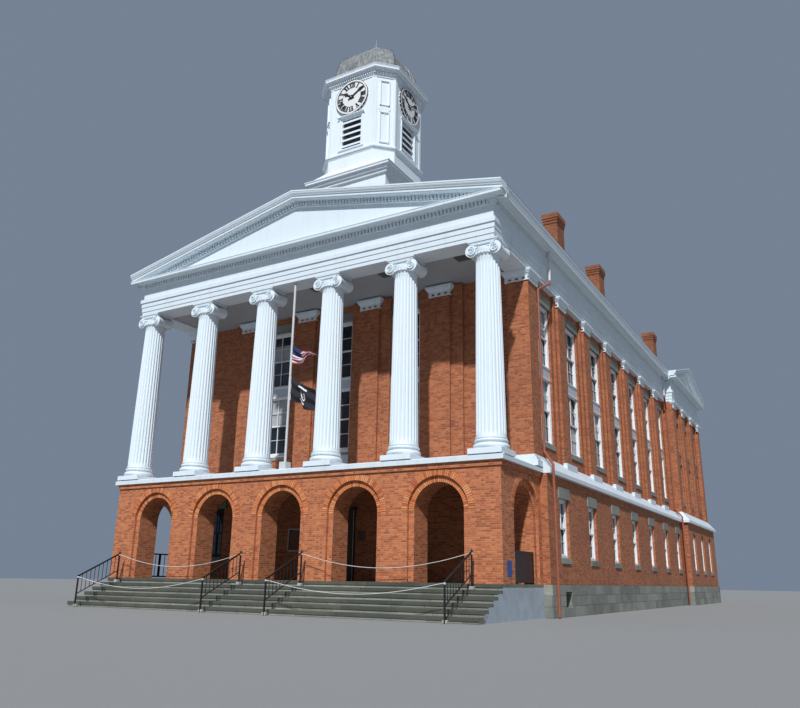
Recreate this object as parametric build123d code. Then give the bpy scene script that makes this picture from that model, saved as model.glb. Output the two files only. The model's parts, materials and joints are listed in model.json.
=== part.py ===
from build123d import *
import math
import os

os.makedirs("parts", exist_ok=True)

# Driving sizes, in millimetres. X runs along the front, Y into the depth, Z up from the ground.

# Levels above the ground
porch_level = 1050
arcade_brick_top = porch_level + 3660
corbel_bottom = porch_level + 3490
deck_level = porch_level + 3860
ledge_top = porch_level + 4300
pilaster_base_top = porch_level + 4390
base_ring_foot = porch_level + 4170
shaft_bottom = porch_level + 4400
architrave_bottom = porch_level + 11140
frieze_bottom = porch_level + 11850
dentil_bottom = porch_level + 12370
corona_bottom = porch_level + 12560
corona_top = porch_level + 12680
eave_top = porch_level + 13000
ridge_top = porch_level + 14890

# Plan
body_half = 8450
arcade_half = body_half + 50
ground_half = body_half + 300
inner_half = body_half - 600
pavilion_out = 450
ledge_out = 150
main_face = 3300
pier_face = 3090
step_out = 3400
beyond = 60000
pavilion_front = 27000
rear_face = 36500

# Arcade
arch_count = 5
arch_radius = 1080
corner_pier = 1100
arch_pitch = (arcade_half - corner_pier - arch_radius) / 2
arch_order = 200
arch_order_depth = 340
arch_crown = porch_level + 3284
arcade_thickness = 1000
side_arch_place = 2030
corbel_out = 60
arch_sides = 16

# Columns
column_pitch = (body_half - 435) / 2.5
column_line = 450
round_sides = 12
plinth_side = 1160
shaft_foot_radius = 485
shaft_neck_radius = 405
flutes = 24
flute_depth = 32
volute_radius = 225
volute_sides = 10
volute_spread = 433
capital_depth = 900
abacus_height = 100
shaft_top = architrave_bottom - abacus_height - 2 * volute_radius - 20

# Walls and windows
panel_recess = 220
pilaster_width = 850
pilaster_step = 200
front_step = 500
pilaster_block_out = 150
pilaster_block_height = 300
front_wall_thickness = 450
side_bay = 3460
first_side_pilaster = 6840
side_pilasters = 6
pavilion_pilasters = 4
window_width = 1700
front_window_width = column_pitch - pilaster_width - 2 * front_step
window_sill = porch_level + 5000
window_head = porch_level + 10450
spandrel_bottom = porch_level + 7570
spandrel_top = porch_level + 8000
ground_sill = porch_level + 890
ground_head = porch_level + 2930
ground_window_width = 1000
pavilion_window_width = 1300
arched_head = porch_level + 3150
entrance_half = 850
entrance_head = porch_level + 2500
frame_setback = 100
frame_depth = 120
frame_bar = 90
window_arch_sides = 8
glass_thickness = 12
lintel_height = 380
sill_height = 190
stone_overlap = 100
stone_out = 40

# Floors
floor_thickness = 300
third_floor_level = porch_level + 7450

# Steps
riser = 175
tread = 343
tread_count = 5
tread_thickness = 100
nosing = 30
nosing_start = -80

# Roof and gables
eave_out = 500
roof_thickness = 160
pavilion_ridge = porch_level + 14400
rake_height = 320
tympanum_thickness = 200

# Chimneys
chimney_right = body_half - 930
chimney_wide = 640
chimney_long = 1000
chimney_top = porch_level + 16750
chimney_cap = 500
chimney_cap_out = 80

# Tower
tower_place = 5430
base_half = 1930
base_cornice_half = base_half + 300
base_cornice_bottom = porch_level + 17230
base_cornice_top = porch_level + 17630
plinth_bottom = porch_level + 18050
stage_bottom = porch_level + 18820
stage_top = porch_level + 22460
tower_cornice_top = porch_level + 22970
stage_apothem = 1920
stage_face_half = 1210
cornice_apothem = 2240
dome_shoulder = porch_level + 24650
dome_top = dome_shoulder + 800
finial_top = dome_top + 920
finial_foot = 200
finial_tip = 12
plinth_out = 20
plinth_cap_out = 60

# Clocks
dial_height = porch_level + 21700
dial_radius = 900
dial_sides = 28
dial_thickness = 70
spindle_radius = 20
spindle_sides = 12
spindle_length = 60
hub_clearance = 0.3
hand_thickness = 10
hour_gap = 8
minute_gap = 26
minute_length = 770
hour_length = 530
hour_width = 140
minute_width = 105
minute_turn = 58
hour_turn = -56


def block(x0, x1, y0, y1, z0, z1):
    """A box between two corners."""
    return Pos((x0 + x1) / 2, (y0 + y1) / 2, (z0 + z1) / 2) * Box(x1 - x0, y1 - y0, z1 - z0)


def across(points, y0, y1):
    """A profile drawn in X and Z, run along Y."""
    return extrude(Plane.XZ.offset(-y0) * Polygon(*points, align=None), y1 - y0, dir=(0, 1, 0))


def along(points, x0, x1):
    """A profile drawn in Y and Z, run along X."""
    return extrude(Plane.YZ.offset(x0) * Polygon(*points, align=None), x1 - x0, dir=(1, 0, 0))


def upright(points, z0, z1):
    """A plan outline raised from z0 to z1."""
    return extrude(Pos(0, 0, z0) * Polygon(*points, align=None), z1 - z0, dir=(0, 0, 1))


def flat_face(points):
    return Face(Wire.make_polygon([Vector(*point) for point in points], close=True))


def stacked(levels):
    """A solid with flat sides through similar outlines, one above another."""
    rings = [[(x, y, z) for x, y in outline] for outline, z in levels]
    faces = [flat_face(rings[0]), flat_face(rings[-1])]
    for low, high in zip(rings[:-1], rings[1:]):
        for i in range(len(low)):
            faces.append(flat_face([low[i - 1], low[i], high[i], high[i - 1]]))
    return Solid(Shell(faces))


def ring_points(radius, sides, x=0, y=0):
    """The corners of a regular outline."""
    turns = [2 * math.pi * (i + 0.5) / sides for i in range(sides)]
    return [(x + radius * math.cos(turn), y + radius * math.sin(turn)) for turn in turns]


def both_sides(solid):
    """A piece and its mirror image across the centre line."""
    return [solid, mirror(solid, about=Plane.YZ)]


def solids_of(items):
    found = []
    for item in items:
        if isinstance(item, (list, tuple)):
            found += solids_of(item)
        else:
            found += list(item.solids())
    return found


def save(name, *items):
    """Write one node from the solids of its items."""
    export_step(Compound(children=solids_of(items)), "parts/" + name + ".step")


def arch_shape(place, foot, radius, crown, sides=arch_sides):
    """The outline of a round-headed opening; its head is a half circle in short sides."""
    springing = crown - radius
    turns = [math.pi * i / sides for i in range(sides + 1)]
    head = [(place + radius * math.cos(turn), springing + radius * math.sin(turn))
            for turn in turns]
    return Polygon((place - radius, foot), (place + radius, foot), *head, align=None)


def cut_across(shape, y0, y1):
    """An opening drawn in X and Z, cut along Y."""
    return extrude(Plane.XZ.offset(-y0) * shape, y1 - y0, dir=(0, 1, 0))


def cut_along(shape, x0, x1):
    """An opening drawn in Y and Z, cut along X."""
    return extrude(Plane.YZ.offset(x0) * shape, x1 - x0, dir=(1, 0, 0))


# The footprint of the upper storeys, with the rear pavilion standing out at both sides
def footprint(grow, front=main_face):
    near = front - grow
    turn = pavilion_front - grow
    far = rear_face + grow
    narrow = body_half + grow
    wide = body_half + pavilion_out + grow
    return [(-narrow, near), (narrow, near), (narrow, turn), (wide, turn), (wide, far),
            (-wide, far), (-wide, turn), (-narrow, turn)]


def ring_band(z0, z1, grow0, grow1, inner, front=0):
    """A moulding that runs round the building, sloping from grow0 to grow1."""
    low = Pos(0, 0, z0) * Polygon(*footprint(grow0, front), align=None)
    high = Pos(0, 0, z1) * Polygon(*footprint(grow1, front), align=None)
    solid = loft([low, high], ruled=True)
    return solid - upright(footprint(-inner, front), z0 - 1, z1 + 1)


def opening(place, width, z0, z1):
    """The outline of a square-headed opening."""
    return Pos(place, (z0 + z1) / 2) * Rectangle(width, z1 - z0)


def square_window(place, width, foot, head, sill, lintel, split=None, ears=True):
    """A square-headed window; split gives the levels of a panel between two sashes, and with
    ears its lintel runs past the opening on the wall's face."""
    return dict(place=place, width=width, foot=foot, head=head, sill=sill, lintel=lintel,
                split=split, round=False, ears=ears)


def round_window(place, width, foot, head, sill):
    """A round-headed window."""
    return dict(place=place, width=width, foot=foot, head=head, sill=sill, lintel=0,
                split=None, round=True, ears=False)


def light_shape(window, inset=0):
    """The outline of the light between sill and head, drawn in by inset."""
    place, foot, head = window["place"], window["foot"] + inset, window["head"] - inset
    if window["round"]:
        return arch_shape(place, foot, window["width"] / 2 - inset, head, window_arch_sides)
    return opening(place, window["width"] - 2 * inset, foot, head)


def hole_shape(window):
    """The outline of the hole in the wall, with the room for the stones."""
    place, foot = window["place"], window["foot"] - window["sill"]
    if window["round"]:
        return arch_shape(place, foot, window["width"] / 2, window["head"],
                          window_arch_sides)
    return opening(place, window["width"], foot, window["head"] + window["lintel"])


def sash_shape(window):
    """The outline of the frame: the light less its panes."""
    shape = light_shape(window)
    inner = light_shape(window, frame_bar)
    if window["split"]:
        inner -= opening(window["place"], window["width"], window["split"][0] - frame_bar / 2,
                         window["split"][1] + frame_bar / 2)
    return shape - inner


# Bay places
column_places = [column_pitch * (i - 2.5) for i in range(6)]
front_bays = [column_pitch * (i - 2) for i in range(5)]
side_places = [first_side_pilaster + side_bay * i for i in range(side_pilasters)]
side_bays = [place - side_bay / 2 for place in side_places]
last_bay = (side_places[-1] + pavilion_front + pilaster_width / 2) / 2
side_bays.append(last_bay)
pavilion_pitch = (rear_face - pavilion_front - pilaster_width) / (pavilion_pilasters - 1)
pavilion_places = [pavilion_front + pilaster_width / 2 + pavilion_pitch * i
                   for i in range(pavilion_pilasters)]
pavilion_bays = [place + pavilion_pitch / 2 for place in pavilion_places[:-1]]
rear_corner = body_half + pavilion_out - pilaster_width / 2
rear_places = [-rear_corner, *column_places[1:-1], rear_corner]
rear_bays = front_bays
arch_places = [arch_pitch * (i - 2) for i in range(arch_count)]
pavilion_half = body_half + pavilion_out
pavilion_ground_half = ground_half + pavilion_out - 50
pavilion_inner = inner_half + pavilion_out
panel_half = body_half - panel_recess
pavilion_panel = pavilion_half - panel_recess
pier_end = pier_face + pilaster_width
rear_inner = rear_face - panel_recess - front_wall_thickness


pavilion_low_head = spandrel_bottom - 150
pavilion_high_sill = spandrel_top + 200
pavilion_high_head = window_head - 350
small_stone = 180

side_ground = [square_window(place, ground_window_width, ground_sill, ground_head,
                             sill_height, lintel_height) for place in side_bays]
pavilion_ground = [round_window(place, ground_window_width, ground_sill, arched_head,
                                sill_height) for place in pavilion_bays]
rear_ground = [round_window(place, ground_window_width, ground_sill, arched_head,
                            sill_height) for place in rear_bays]
porch_windows = [square_window(place, ground_window_width, ground_sill, ground_head,
                               sill_height, lintel_height)
                 for place in (-2 * arch_pitch, 2 * arch_pitch)]
tall = (spandrel_bottom, spandrel_top)
front_upper = [square_window(place, front_window_width, window_sill, window_head, sill_height,
                             lintel_height, tall, False) for place in front_bays[1:-1]]
side_upper = [square_window(place, window_width, window_sill, window_head, sill_height,
                            lintel_height, tall) for place in side_bays]


def two_rows(places):
    """Separate windows of the second and third storeys."""
    low = [square_window(place, pavilion_window_width, window_sill, pavilion_low_head,
                         small_stone, small_stone, None, False) for place in places]
    high = [square_window(place, pavilion_window_width, pavilion_high_sill, pavilion_high_head,
                          small_stone, small_stone, None, False) for place in places]
    return low + high


pavilion_upper = two_rows(pavilion_bays)
rear_upper = two_rows(rear_bays)


# Foundation and steps
steps_front = nosing_start - tread * tread_count
porch_slab = 100
water_table_out = 50
foundation_inset = 750


light_width = 700
light_top = porch_level - 230
light_foot = porch_level - 750


def foundation():
    outer = [(-ground_half - water_table_out, step_out),
             (ground_half + water_table_out, step_out),
             (ground_half + water_table_out, pavilion_front - water_table_out),
             (pavilion_ground_half + water_table_out, pavilion_front - water_table_out),
             (pavilion_ground_half + water_table_out, rear_face + 250 + water_table_out),
             (-pavilion_ground_half - water_table_out, rear_face + 250 + water_table_out),
             (-pavilion_ground_half - water_table_out, pavilion_front - water_table_out),
             (-ground_half - water_table_out, pavilion_front - water_table_out)]
    inner = [(-inner_half, step_out + foundation_inset),
             (inner_half, step_out + foundation_inset),
             (inner_half, pavilion_front + foundation_inset),
             (pavilion_inner, pavilion_front + foundation_inset),
             (pavilion_inner, rear_inner),
             (-pavilion_inner, rear_inner),
             (-pavilion_inner, pavilion_front + foundation_inset),
             (-inner_half, pavilion_front + foundation_inset)]
    wall = upright(outer, 0, porch_level) - upright(inner, -1, porch_level + 1)
    light = cut_along(opening(side_bays[0], light_width, light_foot, light_top), 0,
                      ground_half + water_table_out + 1)
    return wall - light - mirror(light, about=Plane.YZ)


def stair_base():
    profile = [(step_out, 0), (step_out, porch_level - porch_slab)]
    y = nosing_start + nosing
    z = porch_level - porch_slab
    profile.append((y, z))
    for _ in range(tread_count):
        z -= riser
        profile.append((y, z))
        y -= tread
        profile.append((y, z))
    profile.append((y, 0))
    return along(profile, -arcade_half, arcade_half)


def stair_treads():
    treads = []
    for i in range(tread_count):
        top = porch_level - riser * (i + 1)
        back = nosing_start + nosing - tread * i
        front = nosing_start - tread * (i + 1)
        treads.append(block(-arcade_half, arcade_half, front, back, top - tread_thickness, top))
    return treads


save("foundation", foundation())
save("stair_base", stair_base())
save("stair_treads", stair_treads())
save("porch_floor", block(-arcade_half, arcade_half, nosing_start, step_out,
                          porch_level - porch_slab, porch_level))


def ground_floor():
    inner = [(-inner_half, step_out + foundation_inset),
             (inner_half, step_out + foundation_inset),
             (inner_half, pavilion_front + foundation_inset),
             (pavilion_inner, pavilion_front + foundation_inset),
             (pavilion_inner, rear_inner),
             (-pavilion_inner, rear_inner),
             (-pavilion_inner, pavilion_front + foundation_inset),
             (-inner_half, pavilion_front + foundation_inset)]
    return upright(inner, porch_level - floor_thickness, porch_level)


save("ground_floor", ground_floor())


# Arcade
def arcade_front():
    wall = block(-arcade_half, arcade_half, 0, arcade_thickness, porch_level, arcade_brick_top)
    wall += block(-arcade_half - corbel_out, arcade_half + corbel_out, -corbel_out,
                  arcade_thickness, corbel_bottom, arcade_brick_top)
    for place in arch_places:
        outer = arch_shape(place, porch_level - 1, arch_radius, arch_crown)
        inner = arch_shape(place, porch_level - 1, arch_radius - arch_order,
                           arch_crown - arch_order)
        wall -= cut_across(outer, -1, arch_order_depth)
        wall -= cut_across(inner, 0, arcade_thickness + 1)
    return wall


def arcade_side():
    inside = arcade_half - arcade_thickness
    wall = block(inside, arcade_half, arcade_thickness, step_out, porch_level, arcade_brick_top)
    wall += block(arcade_half, arcade_half + corbel_out, arcade_thickness, step_out,
                  corbel_bottom, arcade_brick_top)
    outer = arch_shape(side_arch_place, porch_level - 1, arch_radius, arch_crown)
    inner = arch_shape(side_arch_place, porch_level - 1, arch_radius - arch_order,
                       arch_crown - arch_order)
    wall -= cut_along(outer, arcade_half - arch_order_depth, arcade_half + 1)
    wall -= cut_along(inner, inside - 1, arcade_half)
    return wall


def arcade_side_jamb():
    """The part of the side arch's near jamb that the front wall's end forms."""
    outer = arch_shape(side_arch_place, porch_level - 1, arch_radius, arch_crown)
    inner = arch_shape(side_arch_place, porch_level - 1, arch_radius - arch_order,
                       arch_crown - arch_order)
    cut = cut_along(outer, arcade_half - arch_order_depth, arcade_half + corbel_out + 1)
    return cut + cut_along(inner, arcade_half - arcade_thickness - 1, arcade_half)


front = arcade_front()
jamb = arcade_side_jamb()
front = front - jamb - mirror(jamb, about=Plane.YZ)
side = arcade_side()
save("arcade_front", front)
save("arcade_sides", both_sides(side))


# Ground storey walls
ground_bottom = porch_level
ground_top = arcade_brick_top
ground_inner_front = step_out + foundation_inset


def ground_wall_front():
    wall = block(-ground_half, ground_half, step_out, ground_inner_front, ground_bottom, ground_top)
    wall -= block(-entrance_half, entrance_half, step_out - 1, ground_inner_front + 1,
                  ground_bottom - 1, entrance_head)
    for window in porch_windows:
        wall -= cut_across(hole_shape(window), step_out - 1, ground_inner_front + 1)
    return wall


def ground_wall_side():
    wall = block(inner_half, ground_half, ground_inner_front, pavilion_front, ground_bottom,
                 ground_top)
    wall += block(inner_half, pavilion_ground_half, pavilion_front,
                  pavilion_front + foundation_inset, ground_bottom, ground_top)
    wall += block(pavilion_inner, pavilion_ground_half, pavilion_front, rear_inner,
                  ground_bottom, ground_top)
    for window in side_ground:
        wall -= cut_along(hole_shape(window), inner_half - 1, ground_half + 1)
    for window in pavilion_ground:
        wall -= cut_along(hole_shape(window), pavilion_inner - 1, pavilion_ground_half + 1)
    return wall


rear_ground_face = rear_face + 250


def ground_wall_rear():
    wall = block(-pavilion_ground_half, pavilion_ground_half, rear_inner, rear_ground_face,
                 ground_bottom, ground_top)
    for window in rear_ground:
        wall -= cut_across(hole_shape(window), rear_inner - 1, rear_ground_face + 1)
    return wall


ground_side = ground_wall_side()
save("ground_wall_front", ground_wall_front())
save("ground_wall_right", ground_side)
save("ground_wall_left", mirror(ground_side, about=Plane.YZ))
save("ground_wall_rear", ground_wall_rear())


# Portico deck and the white belt
belt_top = porch_level + 3800


def portico_deck():
    return block(-arcade_half, arcade_half, 0, main_face, arcade_brick_top, deck_level)


def belt_course():
    """The moulding round the deck and the sloping ledge along the sides and rear."""
    edge = ledge_out
    lip = [(-edge, arcade_brick_top), (0, arcade_brick_top), (0, deck_level), (-edge, belt_top)]
    front = along(lip, -arcade_half - edge, arcade_half + edge)
    side_lip = [(arcade_half, arcade_brick_top), (arcade_half + edge, arcade_brick_top),
                (arcade_half + edge, belt_top), (arcade_half, deck_level)]
    side = across(side_lip, 0, step_out)
    ledge = [(body_half, arcade_brick_top), (ground_half + edge, arcade_brick_top),
             (ground_half + edge, belt_top), (body_half, ledge_top)]
    ledge_side = across(ledge, step_out, pavilion_front - edge)
    return front, side, ledge_side


def sloped_ledge():
    outer = ground_half + ledge_out
    far = pavilion_ground_half + ledge_out
    back = rear_ground_face + ledge_out
    turn = pavilion_front - ledge_out

    def outline(side, wide, start, bend, end):
        return [(-side, start), (side, start), (side, bend), (wide, bend), (wide, end),
                (-wide, end), (-wide, bend), (-side, bend)]

    low = upright(outline(outer, far, step_out, turn, back), arcade_brick_top, belt_top)
    foot = Pos(0, 0, belt_top) * Polygon(*outline(outer, far, step_out, turn, back), align=None)
    head = Pos(0, 0, ledge_top) * Polygon(
        *outline(body_half, pavilion_half, step_out, pavilion_front, rear_face), align=None)
    slope = loft([foot, head], ruled=True)
    core = upright(outline(body_half, pavilion_half, step_out - 5, pavilion_front, rear_face),
                   arcade_brick_top - 1, ledge_top + 1)
    return (low + slope) - core


def pilaster_block(place):
    """The white block under one side pilaster."""
    half = pilaster_width / 2 + pilaster_step
    return block(body_half, body_half + pilaster_block_out, place - half, place + half,
                 pilaster_base_top - pilaster_block_height, pilaster_base_top)


belt_parts = belt_course()
belt = belt_parts[0] + belt_parts[1] + mirror(belt_parts[1], about=Plane.YZ) + sloped_ledge()
for place in side_places:
    for piece in both_sides(pilaster_block(place)):
        belt += piece
save("portico_deck", portico_deck())
save("belt_course", belt)


# Upper walls: brick panels between stepped pilasters
wall_bottom = arcade_brick_top
wall_top = architrave_bottom


def pilaster_across(place, y_face, y_panel, z0, z1, step=pilaster_step):
    """A stepped pilaster on a wall that runs along X; its face is at y_face."""
    half = pilaster_width / 2
    middle = (y_face + y_panel) / 2
    lo, hi = sorted((y_face, y_panel))
    mlo, mhi = sorted((middle, y_panel))
    solid = block(place - half, place + half, lo, hi, z0, z1)
    return solid + block(place - half - step, place + half + step, mlo, mhi, z0, z1)


def pilaster_along(place, x_face, x_panel, z0, z1):
    half = pilaster_width / 2
    middle = (x_face + x_panel) / 2
    solid = block(x_panel, x_face, place - half, place + half, z0, z1)
    return solid + block(x_panel, middle, place - half - pilaster_step,
                         place + half + pilaster_step, z0, z1)


upper_inner_front = main_face + front_wall_thickness


def upper_wall_front():
    inside = upper_inner_front
    wall = block(-panel_half, panel_half, main_face, inside, wall_bottom, wall_top)
    wall -= block(-arcade_half, arcade_half, 0, step_out, wall_bottom - 1, deck_level)
    for place in column_places[1:-1]:
        wall += pilaster_across(place, pier_face, main_face, deck_level, wall_top, front_step)
    for sign in (-1, 1):
        x0, x1 = sorted((sign * (body_half - pilaster_width), sign * body_half))
        wall += block(x0, x1, pier_face, step_out, deck_level, wall_top)
        x0, x1 = sorted((sign * inner_half, sign * body_half))
        wall += block(x0, x1, step_out, inside, wall_bottom, wall_top)
    for window in front_upper:
        wall -= cut_across(hole_shape(window), main_face - 1, inside + 1)
    return wall


def upper_wall_side():
    inside = inner_half
    wall = block(inside, body_half, upper_inner_front, pier_end, wall_bottom, wall_top)
    wall += block(inside, panel_half, pier_end, pavilion_front, wall_bottom, wall_top)
    wall += block(panel_half, body_half, pier_end, pavilion_front, wall_bottom, ledge_top)
    for place in side_places:
        wall += pilaster_along(place, body_half, panel_half, ledge_top, wall_top)
    for window in side_upper:
        wall -= cut_along(hole_shape(window), inside - 1, body_half + 1)
    return wall


def pavilion_wall():
    inside = pavilion_inner
    wall = block(inner_half, pavilion_panel, pavilion_front, pavilion_front + 650, wall_bottom,
                 wall_top)
    wall += block(inside, pavilion_panel, pavilion_front, rear_inner, wall_bottom, wall_top)
    wall += block(pavilion_panel, pavilion_half, pavilion_front, rear_inner, wall_bottom,
                  ledge_top)
    for place in pavilion_places[:-1]:
        wall += pilaster_along(place, pavilion_half, pavilion_panel, ledge_top, wall_top) \
            & block(0, beyond, pavilion_front, rear_inner, 0, wall_top)
    for window in pavilion_upper:
        wall -= cut_along(hole_shape(window), inside - 1, pavilion_half + 1)
    return wall


def upper_wall_rear():
    face = rear_face
    panel = rear_face - panel_recess
    wall = block(-pavilion_half, pavilion_half, rear_inner, panel, wall_bottom, wall_top)
    wall += block(-pavilion_half, pavilion_half, panel, face, wall_bottom, ledge_top)
    for place in rear_places:
        pier = pilaster_across(place, face, panel, ledge_top, wall_top)
        wall += pier & block(-pavilion_half, pavilion_half, 0, face, 0, wall_top)
    for window in rear_upper:
        wall -= cut_across(hole_shape(window), rear_inner - 1, face + 1)
    return wall


upper_side = upper_wall_side() + pavilion_wall()
save("upper_wall_front", upper_wall_front())
save("upper_wall_right", upper_side)
save("upper_wall_left", mirror(upper_side, about=Plane.YZ))
save("upper_wall_rear", upper_wall_rear())


# Floors
def storey_outline(front):
    return [(-inner_half, front), (inner_half, front), (inner_half, pavilion_front + 650),
            (pavilion_inner, pavilion_front + 650), (pavilion_inner, rear_inner),
            (-pavilion_inner, rear_inner), (-pavilion_inner, pavilion_front + 650),
            (-inner_half, pavilion_front + 650)]


def floor_slab(top, thickness):
    return upright(storey_outline(upper_inner_front), top - thickness, top)


ceiling_thickness = 200
save("second_floor", floor_slab(deck_level, deck_level - arcade_brick_top))
save("third_floor", floor_slab(third_floor_level, floor_thickness))
save("attic_floor", floor_slab(wall_top, ceiling_thickness))


# Columns
def column_base(place):
    lower = Pos(place, column_line, (base_ring_foot + deck_level) / 2) * Box(
        plinth_side, plinth_side, base_ring_foot - deck_level)
    rise = shaft_bottom - base_ring_foot
    bands = ((plinth_side / 2 - 40, 0), (plinth_side / 2, 0.22), (plinth_side / 2 - 40, 0.45),
             (shaft_foot_radius + 20, 0.6), (shaft_foot_radius + 45, 0.85),
             (shaft_foot_radius + 20, 1))
    levels = [(ring_points(radius, round_sides, place, column_line), base_ring_foot + rise * share)
              for radius, share in bands]
    return lower + stacked(levels)


def fluted_outline(radius):
    """The shaft's section: a flat fillet and a hollow for each flute."""
    points = []
    pitch = 2 * math.pi / flutes
    depth = flute_depth * radius / shaft_foot_radius
    for i in range(flutes):
        for share, sink in ((0, 0), (0.28, 0), (0.64, depth)):
            angle = pitch * (i + share)
            reach = radius - sink
            points.append((reach * math.cos(angle), column_line + reach * math.sin(angle)))
    return points


def column_shaft():
    return stacked([(fluted_outline(shaft_foot_radius), shaft_bottom),
                    (fluted_outline(shaft_neck_radius), shaft_top)])


def column_capital(place):
    top = architrave_bottom
    centre = top - abacus_height - volute_radius - 10
    abacus = Pos(place, column_line, top - abacus_height / 2) * Box(
        2 * volute_spread + 260, capital_depth, abacus_height)
    cushion = block(place - volute_spread, place + volute_spread, column_line - capital_depth / 2,
                    column_line + capital_depth / 2, centre + 20, top - abacus_height)
    echinus = upright(ring_points(shaft_neck_radius + 30, round_sides, place, column_line),
                      shaft_top, centre + 20)
    body = abacus + cushion + echinus
    for sign in (-1, 1):
        roll = ring_points(volute_radius, volute_sides, place + sign * volute_spread, centre)
        body += across(roll, column_line - capital_depth / 2, column_line + capital_depth / 2)
    return body


shaft = column_shaft()
save("column_bases", [column_base(place) for place in column_places])
save("column_shafts", [Pos(place, 0, 0) * shaft for place in column_places])
save("column_capitals", [column_capital(place) for place in column_places])


# Window stones, frames and glass
def stones_across(window, y_face, y_inner, sign):
    """The sill and lintel of a window in a wall that runs along X; sign is +1 towards +Y."""
    half = window["width"] / 2
    place = window["place"]
    rows = [(window["foot"] - window["sill"], window["foot"])]
    if window["lintel"]:
        rows.append((window["head"], window["head"] + window["lintel"]))
    pieces = []
    for z0, z1 in rows:
        if window["ears"] and z0 == window["head"]:
            y0, y1 = sorted((y_inner, y_face))
            core = block(place - half, place + half, y0, y1, z0, z1)
            y0, y1 = sorted((y_face, y_face + sign * stone_out))
            core += block(place - half - stone_overlap, place + half + stone_overlap, y0, y1,
                          z0, z1)
        else:
            y0, y1 = sorted((y_inner, y_face + sign * stone_out))
            core = block(place - half, place + half, y0, y1, z0, z1)
        pieces.append(core)
    return pieces


def turned_piece(piece):
    """Turns a piece drawn for a wall that faces -Y so that it faces +X."""
    return Rot(0, 0, 90) * piece


def stones_along(window, x_face, x_inner):
    """The same stones for a wall at the right side, which faces +X."""
    pieces = stones_across(window, -x_face, -x_inner, -1)
    return [turned_piece(piece) for piece in pieces]


save("window_stones",
     [stones_across(w, step_out, ground_inner_front, -1) for w in porch_windows],
     [stones_across(w, main_face, upper_inner_front, -1) for w in front_upper],
     [both_sides(p) for w in side_ground for p in stones_along(w, ground_half, inner_half)],
     [both_sides(p) for w in pavilion_ground
      for p in stones_along(w, pavilion_ground_half, pavilion_inner)],
     [both_sides(p) for w in side_upper for p in stones_along(w, panel_half, inner_half)],
     [both_sides(p) for w in pavilion_upper
      for p in stones_along(w, pavilion_panel, pavilion_inner)],
     [stones_across(w, rear_ground_face, rear_inner, 1) for w in rear_ground],
     [stones_across(w, rear_face - panel_recess, rear_inner, 1) for w in rear_upper])


def frame_across(window, y_face, sign):
    y0, y1 = sorted((y_face - sign * frame_setback, y_face - sign * (frame_setback + frame_depth)))
    return cut_across(sash_shape(window), y0, y1)


def glass_across(window, y_face, sign):
    back = y_face - sign * (frame_setback + frame_depth)
    y0, y1 = sorted((back, back - sign * glass_thickness))
    return cut_across(light_shape(window), y0, y1)


def frame_along(window, x_face):
    return cut_along(sash_shape(window), x_face - frame_setback - frame_depth,
                     x_face - frame_setback)


def glass_along(window, x_face):
    back = x_face - frame_setback - frame_depth
    return cut_along(light_shape(window), back - glass_thickness, back)


across_ground = [(porch_windows, step_out, -1), (rear_ground, rear_ground_face, 1)]
along_ground = [(side_ground, ground_half), (pavilion_ground, pavilion_ground_half)]
across_upper = [(front_upper, main_face, -1), (rear_upper, rear_face - panel_recess, 1)]
along_upper = [(side_upper, panel_half), (pavilion_upper, pavilion_panel)]


def every(make_across, make_along, rows_across, rows_along):
    pieces = []
    for windows, face, sign in rows_across:
        pieces += [make_across(window, face, sign) for window in windows]
    for windows, face in rows_along:
        for window in windows:
            pieces += both_sides(make_along(window, face))
    return pieces


save("ground_window_frames", every(frame_across, frame_along, across_ground, along_ground))
save("upper_window_frames", every(frame_across, frame_along, across_upper, along_upper))
save("window_glass", every(glass_across, glass_along, across_ground + across_upper,
                           along_ground + along_upper))


# Entablature
architrave_depth = 850
dentil_out = 110
fascia = (architrave_bottom, architrave_bottom + 150, architrave_bottom + 350,
          architrave_bottom + 550, frieze_bottom)
fascia_out = (0, 25, 50, 95)


def architrave():
    solid = None
    for low, high, grow in zip(fascia[:-1], fascia[1:], fascia_out):
        band = ring_band(low, high, grow, grow, architrave_depth)
        solid = band if solid is None else solid + band
    return solid


def cornice():
    solid = ring_band(dentil_bottom, corona_bottom, dentil_out, dentil_out, architrave_depth)
    solid += ring_band(corona_bottom, corona_top, 460, 470, architrave_depth)
    return solid


slope = (ridge_top - eave_top) / (body_half + eave_out)
pavilion_middle = (pavilion_front + rear_face) / 2
pavilion_reach = (rear_face - pavilion_front) / 2 + eave_out
pavilion_slope = (pavilion_ridge - eave_top) / pavilion_reach


def roof_level(offset, ridge, fall):
    return ridge - fall * abs(offset)


def chevron(reach, ridge, fall, drop_top, drop_bottom, centre=0):
    """A band under the two slopes of a gable, between two drops below the roof's surface."""
    end = roof_level(reach, ridge, fall)
    return [(centre - reach, end - drop_bottom), (centre - reach, end - drop_top),
            (centre, ridge - drop_top), (centre + reach, end - drop_top),
            (centre + reach, end - drop_bottom), (centre, ridge - drop_bottom)]


def under_gable(reach, ridge, fall, drop, foot, centre=0):
    """The triangle under a gable down to foot."""
    run = (ridge - drop - foot) / fall
    if run < reach:
        return [(centre - run, foot), (centre + run, foot), (centre, ridge - drop)]
    end = roof_level(reach, ridge, fall) - drop
    return [(centre - reach, foot), (centre + reach, foot), (centre + reach, end),
            (centre, ridge - drop), (centre - reach, end)]


eave_half = body_half + eave_out
main_fill = across(under_gable(eave_half, ridge_top, slope, 0, corona_top), 0, rear_face)
pavilion_fill = along(under_gable(pavilion_reach, pavilion_ridge, pavilion_slope, 0, corona_top,
                                  pavilion_middle), -pavilion_half, pavilion_half)


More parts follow.
